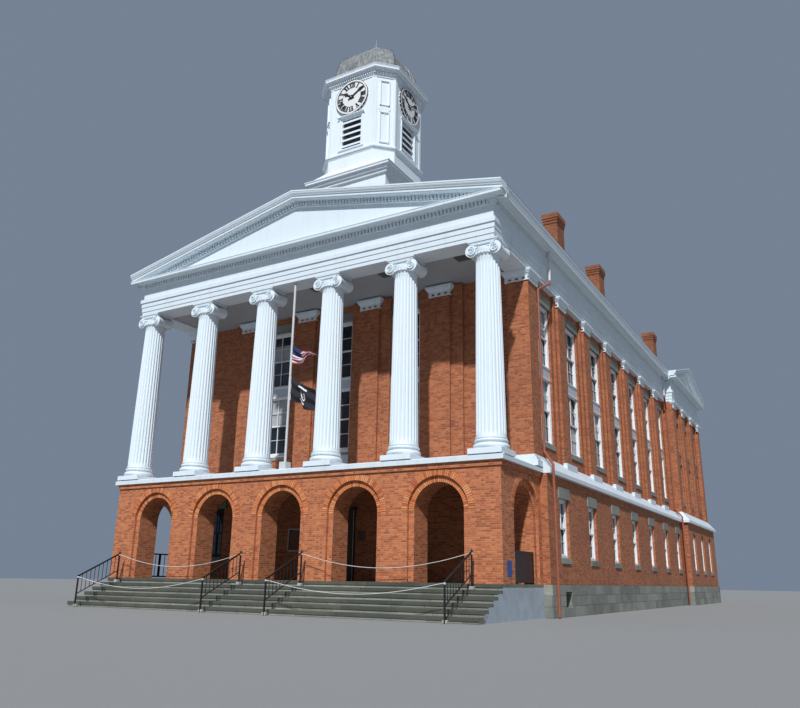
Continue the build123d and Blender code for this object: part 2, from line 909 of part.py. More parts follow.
def main_roof():
    shell = across(chevron(eave_half, ridge_top, slope, 0, roof_thickness), 0, rear_face)
    side = block(pavilion_half, eave_half + 1, pavilion_middle - pavilion_reach, rear_face + 1,
                 0, ridge_top)
    return shell - pavilion_fill - side - mirror(side, about=Plane.YZ)


def pavilion_roof():
    outline = chevron(pavilion_reach, pavilion_ridge, pavilion_slope, 0, roof_thickness,
                      pavilion_middle)
    shell = along(outline, -pavilion_half, pavilion_half)
    shell -= main_fill
    return shell - block(-eave_half, eave_half, rear_face, rear_face + eave_out + 1, 0, ridge_top)


crown_lean = 100
bed_drop = rake_height + 180
bed_out = 130


def rake(reach, ridge, fall, centre, make, face, sign):
    """A raking cornice: the corona and, under it, the bed band that backs the dentils."""
    corona = chevron(reach, ridge, fall, 0, rake_height, centre)
    a0, a1 = sorted((face, face + sign * eave_out))
    solid = make(corona, a0, a1)
    bed = under_gable(reach, ridge, fall, rake_height, corona_top, centre)
    hollow = under_gable(reach, ridge, fall, bed_drop, corona_top - 1, centre)
    b0, b1 = sorted((face, face + sign * bed_out))
    return solid + (make(bed, b0, b1) - make(hollow, b0 - 1, b1 + 1))


def raking_cornices():
    front = rake(eave_half, ridge_top, slope, 0, across, 0, -1)
    back = rake(eave_half, ridge_top, slope, 0, across, rear_face, 1)
    back = back & block(-pavilion_half, pavilion_half, rear_face, rear_face + 600, 0, beyond)
    right = rake(pavilion_reach, pavilion_ridge, pavilion_slope, pavilion_middle, along,
                 pavilion_half, 1)
    return [front, back, both_sides(right)]


def tympana():
    main = under_gable(eave_half, ridge_top, slope, roof_thickness, corona_top)
    front = across(main, 0, tympanum_thickness)
    back = across(main, rear_face - tympanum_thickness, rear_face)
    back = back & block(-pavilion_half, pavilion_half, 0, rear_face, 0, beyond)
    cross = under_gable(pavilion_reach, pavilion_ridge, pavilion_slope, roof_thickness,
                        corona_top, pavilion_middle)
    right = along(cross, pavilion_half - tympanum_thickness, pavilion_half)
    right -= block(0, beyond, rear_face - tympanum_thickness, rear_face + 600, 0, beyond)
    return [front, back, both_sides(right)]


def eave_block():
    """The boxed eave that carries the roof's edge along one side."""
    inside = body_half - architrave_depth
    top_in = roof_level(inside, ridge_top, slope) - roof_thickness
    top_out = roof_level(eave_half, ridge_top, slope) - roof_thickness
    profile = [(inside, corona_top), (eave_half - crown_lean, corona_top),
               (eave_half - crown_lean * 0.7, (corona_top + top_out) / 2),
               (eave_half, top_out), (inside, top_in)]
    return across(profile, tympanum_thickness, pavilion_middle - pavilion_reach)


save("architrave", architrave())
save("frieze", ring_band(frieze_bottom, dentil_bottom, 0, 0, architrave_depth))
boxed = eave_block()
save("cornice", cornice() + boxed + mirror(boxed, about=Plane.YZ))
save("raking_cornices", raking_cornices())
save("tympana", tympana())
save("main_roof", main_roof())
save("pavilion_roof", pavilion_roof())

soffit_rise = 60
soffit_inside = body_half - architrave_depth
soffit = block(-soffit_inside, soffit_inside, architrave_depth, upper_inner_front,
               wall_top + soffit_rise, wall_top + soffit_rise + 100)
soffit += block(-soffit_inside, soffit_inside, main_face, upper_inner_front,
                wall_top, wall_top + soffit_rise)
save("portico_soffit", soffit)


# Pilaster capitals
capital_height = 440


def pilaster_capital(place, y_face, width):
    """A white flared capital on a pilaster that faces -Y."""
    half = width / 2
    levels = []
    for grow, drop in ((25, capital_height), (35, capital_height * 0.6),
                       (90, capital_height * 0.3), (90, 0)):
        outline = [(place - half - grow, y_face - grow), (place + half + grow, y_face - grow),
                   (place + half + grow, y_face), (place - half - grow, y_face)]
        levels.append((outline, wall_top - drop))
    return stacked(levels)


def capitals():
    pieces = []
    for place in column_places[1:-1]:
        pieces.append(pilaster_capital(place, pier_face, pilaster_width))
    for place in rear_places:
        turned = Rot(0, 0, 180) * pilaster_capital(-place, -rear_face, pilaster_width - 200)
        pieces.append(turned)
    corner = pilaster_capital(body_half - pilaster_width / 2 - 45, pier_face,
                              pilaster_width - 90)
    pieces += both_sides(corner)
    for place in side_places:
        piece = turned_piece(pilaster_capital(place, -body_half, pilaster_width))
        pieces += both_sides(piece)
    for place in pavilion_places:
        piece = turned_piece(pilaster_capital(place, -pavilion_half, pilaster_width - 200))
        pieces += both_sides(piece)
    return pieces


save("pilaster_capitals", capitals())


# Chimneys
def chimney(middle):
    x0 = chimney_right - chimney_wide
    cap_foot = chimney_top - chimney_cap
    solid = block(x0, chimney_right, middle - chimney_long / 2, middle + chimney_long / 2,
                  corona_top, cap_foot)
    for i, rise in enumerate((0, 130, 260)):
        out = chimney_cap_out * (i + 1) / 3
        top = chimney_top if i == 2 else cap_foot + rise + 130
        solid += block(x0 - out, chimney_right + out, middle - chimney_long / 2 - out,
                       middle + chimney_long / 2 + out, cap_foot + rise, top)
    return solid - main_fill - pavilion_fill


chimney_rows = [side_places[1], side_places[3], pavilion_places[1]]
save("chimneys", [both_sides(chimney(middle)) for middle in chimney_rows])


# Tower
def octagon(apothem, share=stage_face_half / stage_apothem):
    w = apothem * share
    a = apothem
    points = [(w, -a), (a, -w), (a, w), (w, a), (-w, a), (-a, w), (-a, -w), (-w, -a)]
    return [(x, y + tower_place) for x, y in points]


def square(half):
    return [(x, y + tower_place) for x, y in ((half, -half), (half, half), (-half, half),
                                              (-half, -half))]


def tower_base():
    solid = upright(square(base_half), corona_top, base_cornice_bottom) - main_fill
    rise = (base_cornice_top - base_cornice_bottom) / 3
    for i, out in enumerate((90, 200, base_cornice_half - base_half)):
        solid += upright(square(base_half + out), base_cornice_bottom + rise * i,
                         base_cornice_bottom + rise * (i + 1))
    return solid


def apron():
    """The sloping roof of the square base, up to the eight-sided plinth."""
    foot = base_cornice_half - 40
    wide = stage_apothem + plinth_out
    narrow = wide * stage_face_half / stage_apothem
    low, high = base_cornice_top, plinth_bottom
    faces = [flat_face([(x, y, low) for x, y in square(foot)]),
             flat_face([(x, y, high) for x, y in octagon(wide)])]
    for quarter in range(4):
        turn = Pos(0, tower_place, 0) * Rot(0, 0, 90 * quarter)
        side = flat_face([(-foot, -foot, low), (foot, -foot, low), (narrow, -wide, high),
                          (-narrow, -wide, high)])
        corner = flat_face([(foot, -foot, low), (wide, -narrow, high), (narrow, -wide, high)])
        faces += [turn * side, turn * corner]
    return Solid(Shell(faces))


def tower_plinth():
    solid = apron()
    solid += upright(octagon(stage_apothem + plinth_out), plinth_bottom, stage_bottom - 120)
    solid += upright(octagon(stage_apothem + plinth_cap_out), stage_bottom - 120, stage_bottom)
    return solid


louvre_half = 580
louvre_bottom = porch_level + 19060
louvre_top = porch_level + 20700
stage_wall = 160
front_wall_y = tower_place - stage_apothem


def turned(piece, quarter):
    """A piece of the tower's front turned to another of its four wide faces."""
    return Pos(0, tower_place, 0) * Rot(0, 0, 90 * quarter) * Pos(0, -tower_place, 0) * piece


def clock_stage():
    solid = upright(octagon(stage_apothem), stage_bottom, stage_top)
    solid -= upright(octagon(stage_apothem - stage_wall), stage_bottom - 1, stage_top + 1)
    hole = block(-louvre_half, louvre_half, front_wall_y - 1, front_wall_y + stage_wall + 1,
                 louvre_bottom, louvre_top)
    for quarter in range(4):
        solid -= turned(hole, quarter)
    return solid


slat_count = 5


def louvre():
    """A louvred frame in one opening of the clock stage."""
    frame = block(-louvre_half, louvre_half, front_wall_y + 10, front_wall_y + stage_wall - 10,
                  louvre_bottom, louvre_top)
    frame -= block(-louvre_half + 60, louvre_half - 60, front_wall_y, front_wall_y + stage_wall,
                   louvre_bottom + 40, louvre_top - 40)
    pitch = (louvre_top - louvre_bottom - 80) / slat_count
    for i in range(slat_count):
        z = louvre_bottom + 40 + pitch * (i + 0.5)
        y0 = front_wall_y + 15
        y1 = front_wall_y + stage_wall - 15
        slat = [(y0, z - 90), (y0, z + 10), (y1, z + 90), (y1, z + 60)]
        frame += along(slat, -louvre_half + 60, louvre_half - 60)
    return frame


def dial_disc():
    return across(ring_points(dial_radius, dial_sides, 0, dial_height),
                  front_wall_y - dial_thickness, front_wall_y)


def tower_cornice():
    solid = upright(octagon(stage_apothem + 40), stage_top, stage_top + 110)
    solid += upright(octagon(stage_apothem + 110), stage_top + 110, stage_top + 250)
    for quarter in range(4):
        solid -= turned(dial_disc(), quarter)
    solid += upright(octagon(cornice_apothem - 30), stage_top + 250, stage_top + 400)
    solid += upright(octagon(cornice_apothem), stage_top + 400, tower_cornice_top)
    return solid


dome_profile = ((cornice_apothem - 60, tower_cornice_top), (1900, tower_cornice_top + 140),
                (1740, tower_cornice_top + 430), (1660, tower_cornice_top + 880),
                (1540, dome_shoulder - 350), (1420, dome_shoulder - 130), (1300, dome_shoulder),
                (1080, dome_shoulder + 180), (560, dome_top - 200), (finial_foot, dome_top))


def dome():
    spike = stacked([(ring_points(finial_foot, 12, 0, tower_place), dome_top),
                     (ring_points(finial_tip, 12, 0, tower_place), finial_top)])
    return stacked([(octagon(reach), level) for reach, level in dome_profile]) + spike


save("tower_base", tower_base())
save("tower_plinth", tower_plinth())
save("clock_stage", clock_stage())
save("tower_louvres", [turned(louvre(), quarter) for quarter in range(4)])
save("tower_cornice", tower_cornice())
save("dome", dome())


# Clocks: a dial with its spindle on each wide face, and two hands that turn on it
def clock_dial():
    reach = dial_thickness + spindle_length
    pin = across(ring_points(spindle_radius, spindle_sides, 0, dial_height),
                 front_wall_y - reach, front_wall_y)
    return dial_disc() + pin


def clock_hand(length, width, gap, turn):
    """A spade-shaped hand with its hub, turned clockwise from twelve as seen from outside."""
    tail = -length * 0.28
    outline = Polygon((-width * 0.3, tail), (width * 0.3, tail), (width * 0.35, length * 0.55),
                      (width * 0.8, length * 0.7), (0, length), (-width * 0.8, length * 0.7),
                      (-width * 0.35, length * 0.55), align=None)
    outline += RegularPolygon(width * 0.9, 8)
    outline -= RegularPolygon(spindle_radius + hub_clearance, spindle_sides, major_radius=False)
    hand = extrude(outline, hand_thickness)
    place = Pos(0, front_wall_y - dial_thickness - gap, dial_height)
    return place * Rot(0, turn, 0) * Rot(90, 0, 0) * hand


sides = ("front", "right", "rear", "left")
dial = clock_dial()
save("clock_dials", [turned(dial, quarter) for quarter in range(4)])
hour_hand = clock_hand(hour_length, hour_width, hour_gap, hour_turn)
minute_hand = clock_hand(minute_length, minute_width, minute_gap, minute_turn)
for quarter, name in enumerate(sides):
    save("clock_" + name + "_hour_hand", turned(hour_hand, quarter))
    save("clock_" + name + "_minute_hand", turned(minute_hand, quarter))


# Entrance, notice case, guards, railings
surround_width = 140
surround_out = 90
door_thickness = 60


def entrance():
    """The white surround and the closed pair of doors, fused to their posts."""
    y0 = step_out - surround_out
    inside = step_out + 200
    head = entrance_head
    solid = block(-entrance_half, entrance_half, step_out, inside, porch_level, head)
    solid -= block(-entrance_half + surround_width, entrance_half - surround_width, step_out - 1,
                   inside + 1, porch_level - 1, head - surround_width)
    trim = block(-entrance_half - surround_width, entrance_half + surround_width, y0, step_out,
                 porch_level, head + surround_width)
    trim -= block(-entrance_half, entrance_half, y0 - 1, step_out + 1, porch_level - 1, head)
    cap = block(-entrance_half - surround_width - 60, entrance_half + surround_width + 60,
                y0 - 60, step_out, head + surround_width, head + surround_width + 110)
    return solid + trim + cap


def entrance_doors():
    half = entrance_half - surround_width
    y0 = step_out + 70
    leaves = []
    for x0, x1 in ((-half, -2), (2, half)):
        leaf = block(x0, x1, y0, y0 + door_thickness, porch_level + 5,
                     entrance_head - surround_width)
        leaf -= block(x0 + 130, x1 - 130, y0 - 1, y0 + 20, porch_level + 900,
                      entrance_head - surround_width - 150)
        leaf -= block(x0 + 130, x1 - 130, y0 - 1, y0 + 20, porch_level + 200,
                      porch_level + 750)
        leaves.append(leaf)
    return leaves


save("entrance", entrance())
save("entrance_doors", entrance_doors())

guard_height = 1010
guard_thickness = 40


def arch_guard():
    """The black panel that closes the foot of the side arch."""
    half = arch_radius - arch_order
    x1 = arcade_half - arch_order_depth - 60
    return block(x1 - guard_thickness, x1, side_arch_place - half, side_arch_place + half,
                 porch_level, porch_level + guard_height)


guard = arch_guard()
save("side_arch_guards", both_sides(guard))

rail_places = (850 - arcade_half, -1350, 1350, arcade_half - 850)
rail_post = 45
rail_bar = 30
rail_upper_y = nosing_start - 270
rail_lower_y = steps_front - 320
rail_height = 900
baluster_count = 9


def stair_railing(place):
    """A raked iron railing: two posts, two rails and thin balusters."""
    half = rail_post / 2
    upper_foot = porch_level - riser
    top_upper = porch_level + rail_height
    top_lower = rail_height + 190
    solid = block(place - half, place + half, rail_upper_y - half, rail_upper_y + half,
                  upper_foot, top_upper)
    solid += block(place - half, place + half, rail_lower_y - half, rail_lower_y + half,
                   0, top_lower)
    run = rail_upper_y - rail_lower_y
    for drop in (0, 620):
        bar = [(rail_lower_y, top_lower - drop - rail_bar), (rail_lower_y, top_lower - drop),
               (rail_upper_y, top_upper - drop), (rail_upper_y, top_upper - drop - rail_bar)]
        solid += along(bar, place - rail_bar / 2, place + rail_bar / 2)
    for i in range(1, baluster_count + 1):
        y = rail_lower_y + run * i / (baluster_count + 1)
        z = top_lower + (top_upper - top_lower) * i / (baluster_count + 1)
        solid += block(place - 8, place + 8, y - 8, y + 8, z - 620 - rail_bar / 2, z - rail_bar / 2)
    return solid


save("stair_railings", [stair_railing(place) for place in rail_places])


# White ropes that hang between the tops of the railings' posts; each point is a share of the
# span and a share of the sag
rope_radius = 10
rope_sides = 6
rope_clearance = 0.3
rope_lead = 60
rope_upper_sag = 450
rope_lower_sag = 360
rope_points = ((0, 0), (0.14, 0.48), (0.32, 0.87), (0.5, 1), (0.68, 0.87), (0.86, 0.48), (1, 0))


def rope(x0, x1, y, z, sag):
    tied = rail_post / 2 + rope_clearance
    start = x0 + tied + rope_lead
    end = x1 - tied - rope_lead
    points = [(start + (end - start) * along_span, y, z - sag * drop)
              for along_span, drop in rope_points]
    route = Polyline((x0 + tied, y, z), *points, (x1 - tied, y, z))
    section = Plane(origin=route @ 0, z_dir=(1, 0, 0)) * RegularPolygon(rope_radius, rope_sides)
    return sweep(section, path=route, transition=Transition.RIGHT)


def stair_ropes():
    pieces = []
    for x0, x1 in (rail_places[:2], rail_places[2:]):
        pieces.append(rope(x0, x1, rail_upper_y, porch_level + rail_height - 40, rope_upper_sag))
        pieces.append(rope(x0, x1, rail_lower_y, rail_height + 150, rope_lower_sag))
    return pieces


save("stair_ropes", stair_ropes())


# Downspouts
spout_radius = 50
spout_sides = 8
spout_clearance = 0.3
spout_foot = 40


def spout(high_y, wall_y, low_y):
    """A round pipe from the eave, back against a corner, over the ledge and down to the ground."""
    out = spout_radius + spout_clearance
    eave_x = body_half + dentil_out + out
    wall_x = body_half + out
    low_x = ground_half + ledge_out + out
    points = [(eave_x, high_y, corona_bottom),
              (eave_x, high_y, architrave_bottom + 100),
              (wall_x, wall_y, architrave_bottom - 500),
              (wall_x, wall_y, ledge_top + 200),
              (low_x, low_y, belt_top + 150),
              (low_x, low_y, spout_foot)]
    route = Polyline(*points)
    section = Plane(origin=route @ 0, z_dir=route % 0) * RegularPolygon(spout_radius, spout_sides)
    return sweep(section, path=route, transition=Transition.RIGHT)


def downspouts():
    near = spout(pier_end + 1150, pier_end + spout_radius + 10, step_out + 150)
    far = spout(pavilion_front - 800, pavilion_front - spout_radius - spout_clearance,
                pavilion_front - 400)
    return [near, far]


# Flagpole and flags
pole_radius = 45
pole_y = 150
pole_top = porch_level + 11080
flag_thickness = 12
flag_clearance = 0.3
flag_reach = column_pitch / 2 - 453
low_flag_reach = column_pitch / 2 - 403
flag_foot = porch_level + 7750
flag_top = porch_level + 8650
low_flag_foot = porch_level + 5950
low_flag_top = porch_level + 7400


def flagpole():
    foot = Pos(0, pole_y, deck_level + 130) * Box(300, 300, 260)
    pole = upright(ring_points(pole_radius, round_sides, 0, pole_y), deck_level + 260, pole_top)
    return foot + pole


def flag(z0, z1, reach):
    x0 = pole_radius * math.cos(math.pi / round_sides) + flag_clearance
    return block(x0, x0 + reach, pole_y - flag_thickness / 2, pole_y + flag_thickness / 2, z0, z1)


save("flagpole", flagpole())
save("flags", flag(flag_foot, flag_top, flag_reach),
     flag(low_flag_foot, low_flag_top, low_flag_reach))
save("downspouts", [both_sides(piece) for piece in downspouts()])
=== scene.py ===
import bpy
import json
import math
import random
from mathutils import Matrix, Vector

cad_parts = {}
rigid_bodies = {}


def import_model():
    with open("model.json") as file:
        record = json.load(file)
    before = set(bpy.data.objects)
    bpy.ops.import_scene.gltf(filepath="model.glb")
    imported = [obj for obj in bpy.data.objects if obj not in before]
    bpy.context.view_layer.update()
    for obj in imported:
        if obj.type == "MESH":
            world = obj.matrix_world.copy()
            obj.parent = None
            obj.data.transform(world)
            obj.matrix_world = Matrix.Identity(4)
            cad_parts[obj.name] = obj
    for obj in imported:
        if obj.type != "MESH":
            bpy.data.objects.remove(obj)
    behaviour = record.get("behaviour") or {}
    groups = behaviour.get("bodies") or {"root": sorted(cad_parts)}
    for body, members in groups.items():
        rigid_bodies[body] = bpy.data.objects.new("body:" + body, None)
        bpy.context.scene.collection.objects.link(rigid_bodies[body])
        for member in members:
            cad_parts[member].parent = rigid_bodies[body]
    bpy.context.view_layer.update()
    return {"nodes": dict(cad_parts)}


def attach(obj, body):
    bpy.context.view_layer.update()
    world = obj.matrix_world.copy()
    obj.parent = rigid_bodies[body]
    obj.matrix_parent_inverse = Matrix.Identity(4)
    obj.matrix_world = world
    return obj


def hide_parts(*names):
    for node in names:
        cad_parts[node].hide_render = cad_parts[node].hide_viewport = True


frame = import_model()
for item in list(bpy.data.objects):
    if item.name in ("Cube", "Light", "Camera"):
        bpy.data.objects.remove(item)
print("frame loaded")


# small helpers for modelling; a box is given by its ends along x, y and z, in any order

mirror = Matrix.Diagonal((-1, 1, 1, 1))
sides = (1, -1)


def at(x, y, z, turn=0, axis="Z"):
    # a move that follows a turn in degrees
    return Matrix.Translation((x, y, z)) @ Matrix.Rotation(math.radians(turn), 4, axis)


def pickNothing():
    if bpy.context.object and bpy.context.object.mode != "OBJECT":
        bpy.ops.object.mode_set(mode="OBJECT")
    bpy.ops.object.select_all(action="DESELECT")


def pick(*objects):
    pickNothing()
    for item in objects:
        item.select_set(True)
    bpy.context.view_layer.objects.active = objects[0]


def edit(piece, *steps):
    # each step is a mesh operator with its settings, used on the whole mesh
    pick(piece)
    bpy.ops.object.mode_set(mode="EDIT")
    for operator, settings in steps:
        bpy.ops.mesh.select_all(action="SELECT")
        operator(**settings)
    bpy.ops.object.mode_set(mode="OBJECT")
    return piece


faceOutwards = (bpy.ops.mesh.normals_make_consistent, {"inside": False})


def settle():
    # the place goes into the mesh, so the object sits at the origin
    bpy.ops.object.transform_apply(location=True, rotation=True, scale=True)
    return bpy.context.object


def box(x, y, z, bevel=0.0):
    pickNothing()
    ends = [sorted(pair) for pair in (x, y, z)]
    bpy.ops.mesh.primitive_cube_add(size=1, location=[(a + b) / 2 for a, b in ends],
                                    scale=[b - a for a, b in ends])
    piece = settle()
    if bevel:
        edit(piece, (bpy.ops.mesh.bevel, {"offset": bevel, "segments": 1, "affect": "EDGES"}))
    return piece


def ball(radius, place, segments, rings, scale=(1, 1, 1)):
    pickNothing()
    bpy.ops.mesh.primitive_uv_sphere_add(segments=segments, ring_count=rings, radius=radius,
                                         location=place, scale=scale)
    piece = settle()
    bpy.ops.object.shade_smooth()
    return piece


def link(name, data):
    piece = bpy.data.objects.new(name, data)
    bpy.context.scene.collection.objects.link(piece)
    return piece


def meshPiece(name, points, faces):
    mesh = bpy.data.meshes.new(name)
    mesh.from_pydata(points, [], faces)
    return link(name, mesh)


def useModifier(piece, kind, **settings):
    pick(piece)
    modifier = piece.modifiers.new(kind.lower(), kind)
    for key, value in settings.items():
        setattr(modifier, key, value)
    bpy.ops.object.modifier_apply(modifier=modifier.name)


def arrayAlong(piece, count, step):
    useModifier(piece, "ARRAY", count=count, use_relative_offset=False,
                use_constant_offset=True, constant_offset_displace=step)
    return piece


def moved(piece, matrix):
    piece.data.transform(matrix)
    return piece


def copyOf(piece, matrix):
    twin = link(piece.name, piece.data.copy())
    twin.data.transform(matrix)
    if matrix.determinant() < 0:
        twin.data.flip_normals()
    return twin


def spread(piece, places):
    # a copy at each place; the model itself goes
    copies = [copyOf(piece, place) for place in places]
    bpy.data.objects.remove(piece)
    return copies


def joinAll(name, pieces):
    pick(*pieces)
    if len(pieces) > 1:
        bpy.ops.object.join()
    piece = bpy.context.object
    piece.name = name
    piece.data.name = name
    return piece


def dress(piece, finish):
    piece.data.materials.clear()
    piece.data.materials.append(finishes[finish])
    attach(piece, "building")
    return piece


def finished(name, parts, finish):
    return dress(joinAll(name, parts), finish)


def lathe(profile, steps, centre=(0, 0, 0)):
    # a turned piece: points (radius, height) spun once round the upright axis
    pickNothing()
    bpy.ops.mesh.primitive_plane_add(size=1)
    piece = edit(bpy.context.object, (bpy.ops.mesh.delete, {"type": "VERT"}))
    x, y, z = centre
    points = [(x + r, y, z + h) for r, h in profile]
    piece.data.from_pydata(points, [(i, i + 1) for i in range(len(points) - 1)], [])
    edit(piece, (bpy.ops.mesh.spin, {"steps": steps, "angle": 2 * math.pi, "center": centre,
                                     "axis": (0, 0, 1)}),
         (bpy.ops.mesh.remove_doubles, {"threshold": 0.0002}), faceOutwards)
    bpy.ops.object.shade_smooth_by_angle(angle=math.radians(32))
    return piece


def bridge(rows, ring=False, wrap=True):
    # neighbouring rows of points are joined by faces; with wrap the last row meets the first
    count = len(rows[0])
    faces = []
    for i in range(len(rows) if wrap else len(rows) - 1):
        low, high = i * count, (i + 1) % len(rows) * count
        for j in range(count if ring else count - 1):
            k = (j + 1) % count
            faces.append((low + j, low + k, high + k, high + j))
    if not ring:
        faces += [tuple(i * count + end for i in range(len(rows))) for end in (0, count - 1)]
    return edit(meshPiece("bridge", [point for row in rows for point in row], faces),
                faceOutwards)


def spinCopies(piece, count, angle, centre, axis):
    # count copies are spread over the whole angle, the first one in its place
    return edit(piece, (bpy.ops.mesh.spin, {"steps": count - 1, "dupli": True,
                                            "angle": angle * (count - 1) / count,
                                            "center": centre, "axis": axis}))


# camera, floor and light

cameraView = {"place": (17.391, -21.282, 1.098), "azimuth": 30.466, "elevation": 16.837,
              "roll": 0.92, "pixelsOfFocus": 749.3, "pictureWidth": 800, "sensor": 36,
              "clipEnd": 500}
studio = {"sunTurn": (-0.345, 1.0, -1.02), "sunStrength": 3.8, "sunSoftness": 2.0,
          "sunColour": (0.97, 0.985, 1.0), "sky": (0.52, 0.66, 0.88), "skyStrength": 0.34,
          "floorColour": (0.27, 0.27, 0.265), "floorSize": 400, "floorPlace": (0, 18, 0),
          "floorRoughness": 0.9}


def addCamera():
    view = cameraView
    data = bpy.data.cameras.new("camera")
    camera = link("camera", data)
    turn, rise = math.radians(view["azimuth"]), math.radians(view["elevation"])
    forward = Vector((-math.sin(turn) * math.cos(rise), math.cos(turn) * math.cos(rise),
                      math.sin(rise)))
    camera.rotation_mode = "QUATERNION"
    roll = Matrix.Rotation(math.radians(view["roll"]), 3, "Z").to_quaternion()
    camera.rotation_quaternion = forward.to_track_quat("-Z", "Y") @ roll
    camera.location = view["place"]
    data.sensor_width = view["sensor"]
    data.lens = view["pixelsOfFocus"] * data.sensor_width / view["pictureWidth"]
    data.clip_end = view["clipEnd"]
    bpy.context.scene.camera = camera


def addStudio():
    s = studio
    light = bpy.data.lights.new("keyLight", "SUN")
    light.energy = s["sunStrength"]
    light.angle = math.radians(s["sunSoftness"])
    light.color = s["sunColour"]
    lamp = link("keyLight", light)
    lamp.rotation_mode = "QUATERNION"
    lamp.rotation_quaternion = Vector(s["sunTurn"]).to_track_quat("-Z", "Y")
    world = bpy.data.worlds.new("studioWorld")
    world.use_nodes = True
    background = world.node_tree.nodes["Background"]
    background.inputs["Color"].default_value = (*s["sky"], 1)
    background.inputs["Strength"].default_value = s["skyStrength"]
    bpy.context.scene.world = world
    bpy.context.scene.view_settings.view_transform = "Standard"
    pickNothing()
    bpy.ops.mesh.primitive_plane_add(size=s["floorSize"], location=s["floorPlace"])
    floor = bpy.context.object
    floor.name = "floor"
    material = bpy.data.materials.new("paleFloor")
    material.use_nodes = True
    shader = material.node_tree.nodes["Principled BSDF"]
    shader.inputs["Base Color"].default_value = (*s["floorColour"], 1)
    shader.inputs["Roughness"].default_value = s["floorRoughness"]
    floor.data.materials.append(material)


addCamera()
addStudio()
print("camera and studio light")


# materials, all worked out from Object coordinates in metres

class Value:
    # a number worked out by nodes, so that a pattern can be written as a plain sum
    def __init__(self, finish, socket):
        self.finish, self.socket = finish, socket

    def __rsub__(self, other):
        return self.finish.maths("SUBTRACT", other, self)


def operation(kind):
    return lambda value, other=None: value.finish.maths(kind, value, other)


for method, kind in (("__add__", "ADD"), ("__sub__", "SUBTRACT"), ("__mul__", "MULTIPLY"),
                     ("__truediv__", "DIVIDE"), ("__mod__", "MODULO"),
                     ("__gt__", "GREATER_THAN"), ("__lt__", "LESS_THAN"),
                     ("__abs__", "ABSOLUTE"), ("floor", "FLOOR"), ("fract", "FRACT"),
                     ("least", "MINIMUM")):
    setattr(Value, method, operation(kind))


class Finish:
    # a short way to write a node tree: each call adds one node and returns what it gives
    def __init__(self, name):
        self.material = bpy.data.materials.new(name)
        self.material.use_nodes = True
        self.tree = self.material.node_tree
        self.shader = self.tree.nodes["Principled BSDF"]
        self.place = Value(self, self.tree.nodes.new("ShaderNodeTexCoord").outputs["Object"])

    def node(self, kind, values, given=0):
        # values go to the inputs of the same name or number; given is the output used
        node = self.tree.nodes.new("ShaderNode" + kind)
        for key, value in values.items():
            self.feed(value, node.inputs[key])
        return node, Value(self, node.outputs[given])

    def feed(self, value, socket):
        if isinstance(value, Value):
            self.tree.links.new(value.socket, socket)
        elif value is not None:
            socket.default_value = value

    def maths(self, kind, a, b=None):
        node, result = self.node("Math", {0: a, 1: b})
        node.operation = kind
        return result

    def split(self, vector):
        node = self.node("SeparateXYZ", {0: vector})[0]
        return [Value(self, socket) for socket in node.outputs]

    def combine(self, x, y, z=0.0):
        return self.node("CombineXYZ", {0: x, 1: y, 2: z})[1]

    def noise(self, scale, detail=4.0, rough=0.55, vector=None, spread=0.0):
        return self.node("TexNoise", {"Vector": vector or self.place, "Scale": scale,
                                      "Detail": detail, "Roughness": rough,
                                      "Distortion": spread}, "Fac")[1]

    def chance(self, vector):
        node, result = self.node("TexWhiteNoise", {}, "Value")
        node.noise_dimensions = "2D"
        self.feed(vector, node.inputs["Vector"])
        return result

    def ramp(self, value, *stops):
        node, result = self.node("ValToRGB", {0: value})
        bar = node.color_ramp
        while len(bar.elements) < len(stops):
            bar.elements.new(0.5)
        for element, (place, colour) in zip(bar.elements, stops):
            element.position = place
            element.color = (*colour, 1)
        return result

    def remap(self, value, low, high, to=(0.0, 1.0)):
        return self.node("MapRange", {"Value": value, "From Min": low, "From Max": high,
                                      "To Min": to[0], "To Max": to[1]})[1]

    def mix(self, share, a, b, kind="MIX"):
        node, result = self.node("Mix", {0: share}, 2)
        node.data_type = "RGBA"
        node.blend_type = kind
        for value, key in ((a, 6), (b, 7)):
            self.feed((*value, 1) if isinstance(value, tuple) else value, node.inputs[key])
        return result

    def shade(self, colour, share):
        return self.mix(1.0, colour, self.combine(share, share, share), "MULTIPLY")

    def stretched(self, x, y, z):
        return self.node("Mapping", {"Vector": self.place, "Scale": (x, y, z)})[1]

    def facing(self):
        return self.split(self.node("NewGeometry", {}, "Normal")[1])

    def bump(self, height, distance, strength):
        return self.node("Bump", {"Distance": distance, "Strength": strength,
                                  "Height": height})[1]

    def done(self, colour, rough, normal, metal=0.0):
        for key, value in (("Base Color", colour), ("Roughness", rough), ("Metallic", metal),
                           ("Normal", normal)):
            self.feed(value, self.shader.inputs[key])
        return self.material


brickwork = {"course": 0.0689, "length": 0.216, "joint": 0.0095,
             "mortar": (0.42, 0.245, 0.145), "dark": (0.31, 0.078, 0.031),
             "middle": (0.40, 0.104, 0.038), "bright": (0.57, 0.190, 0.074),
             "soot": (0.14, 0.060, 0.04), "relief": 0.008}


def alongWall(x, y, normalX):
    # the distance along a wall, whether it faces the street or the side
    side = abs(normalX) > 0.6
    return x * (1.0 - side) + y * side


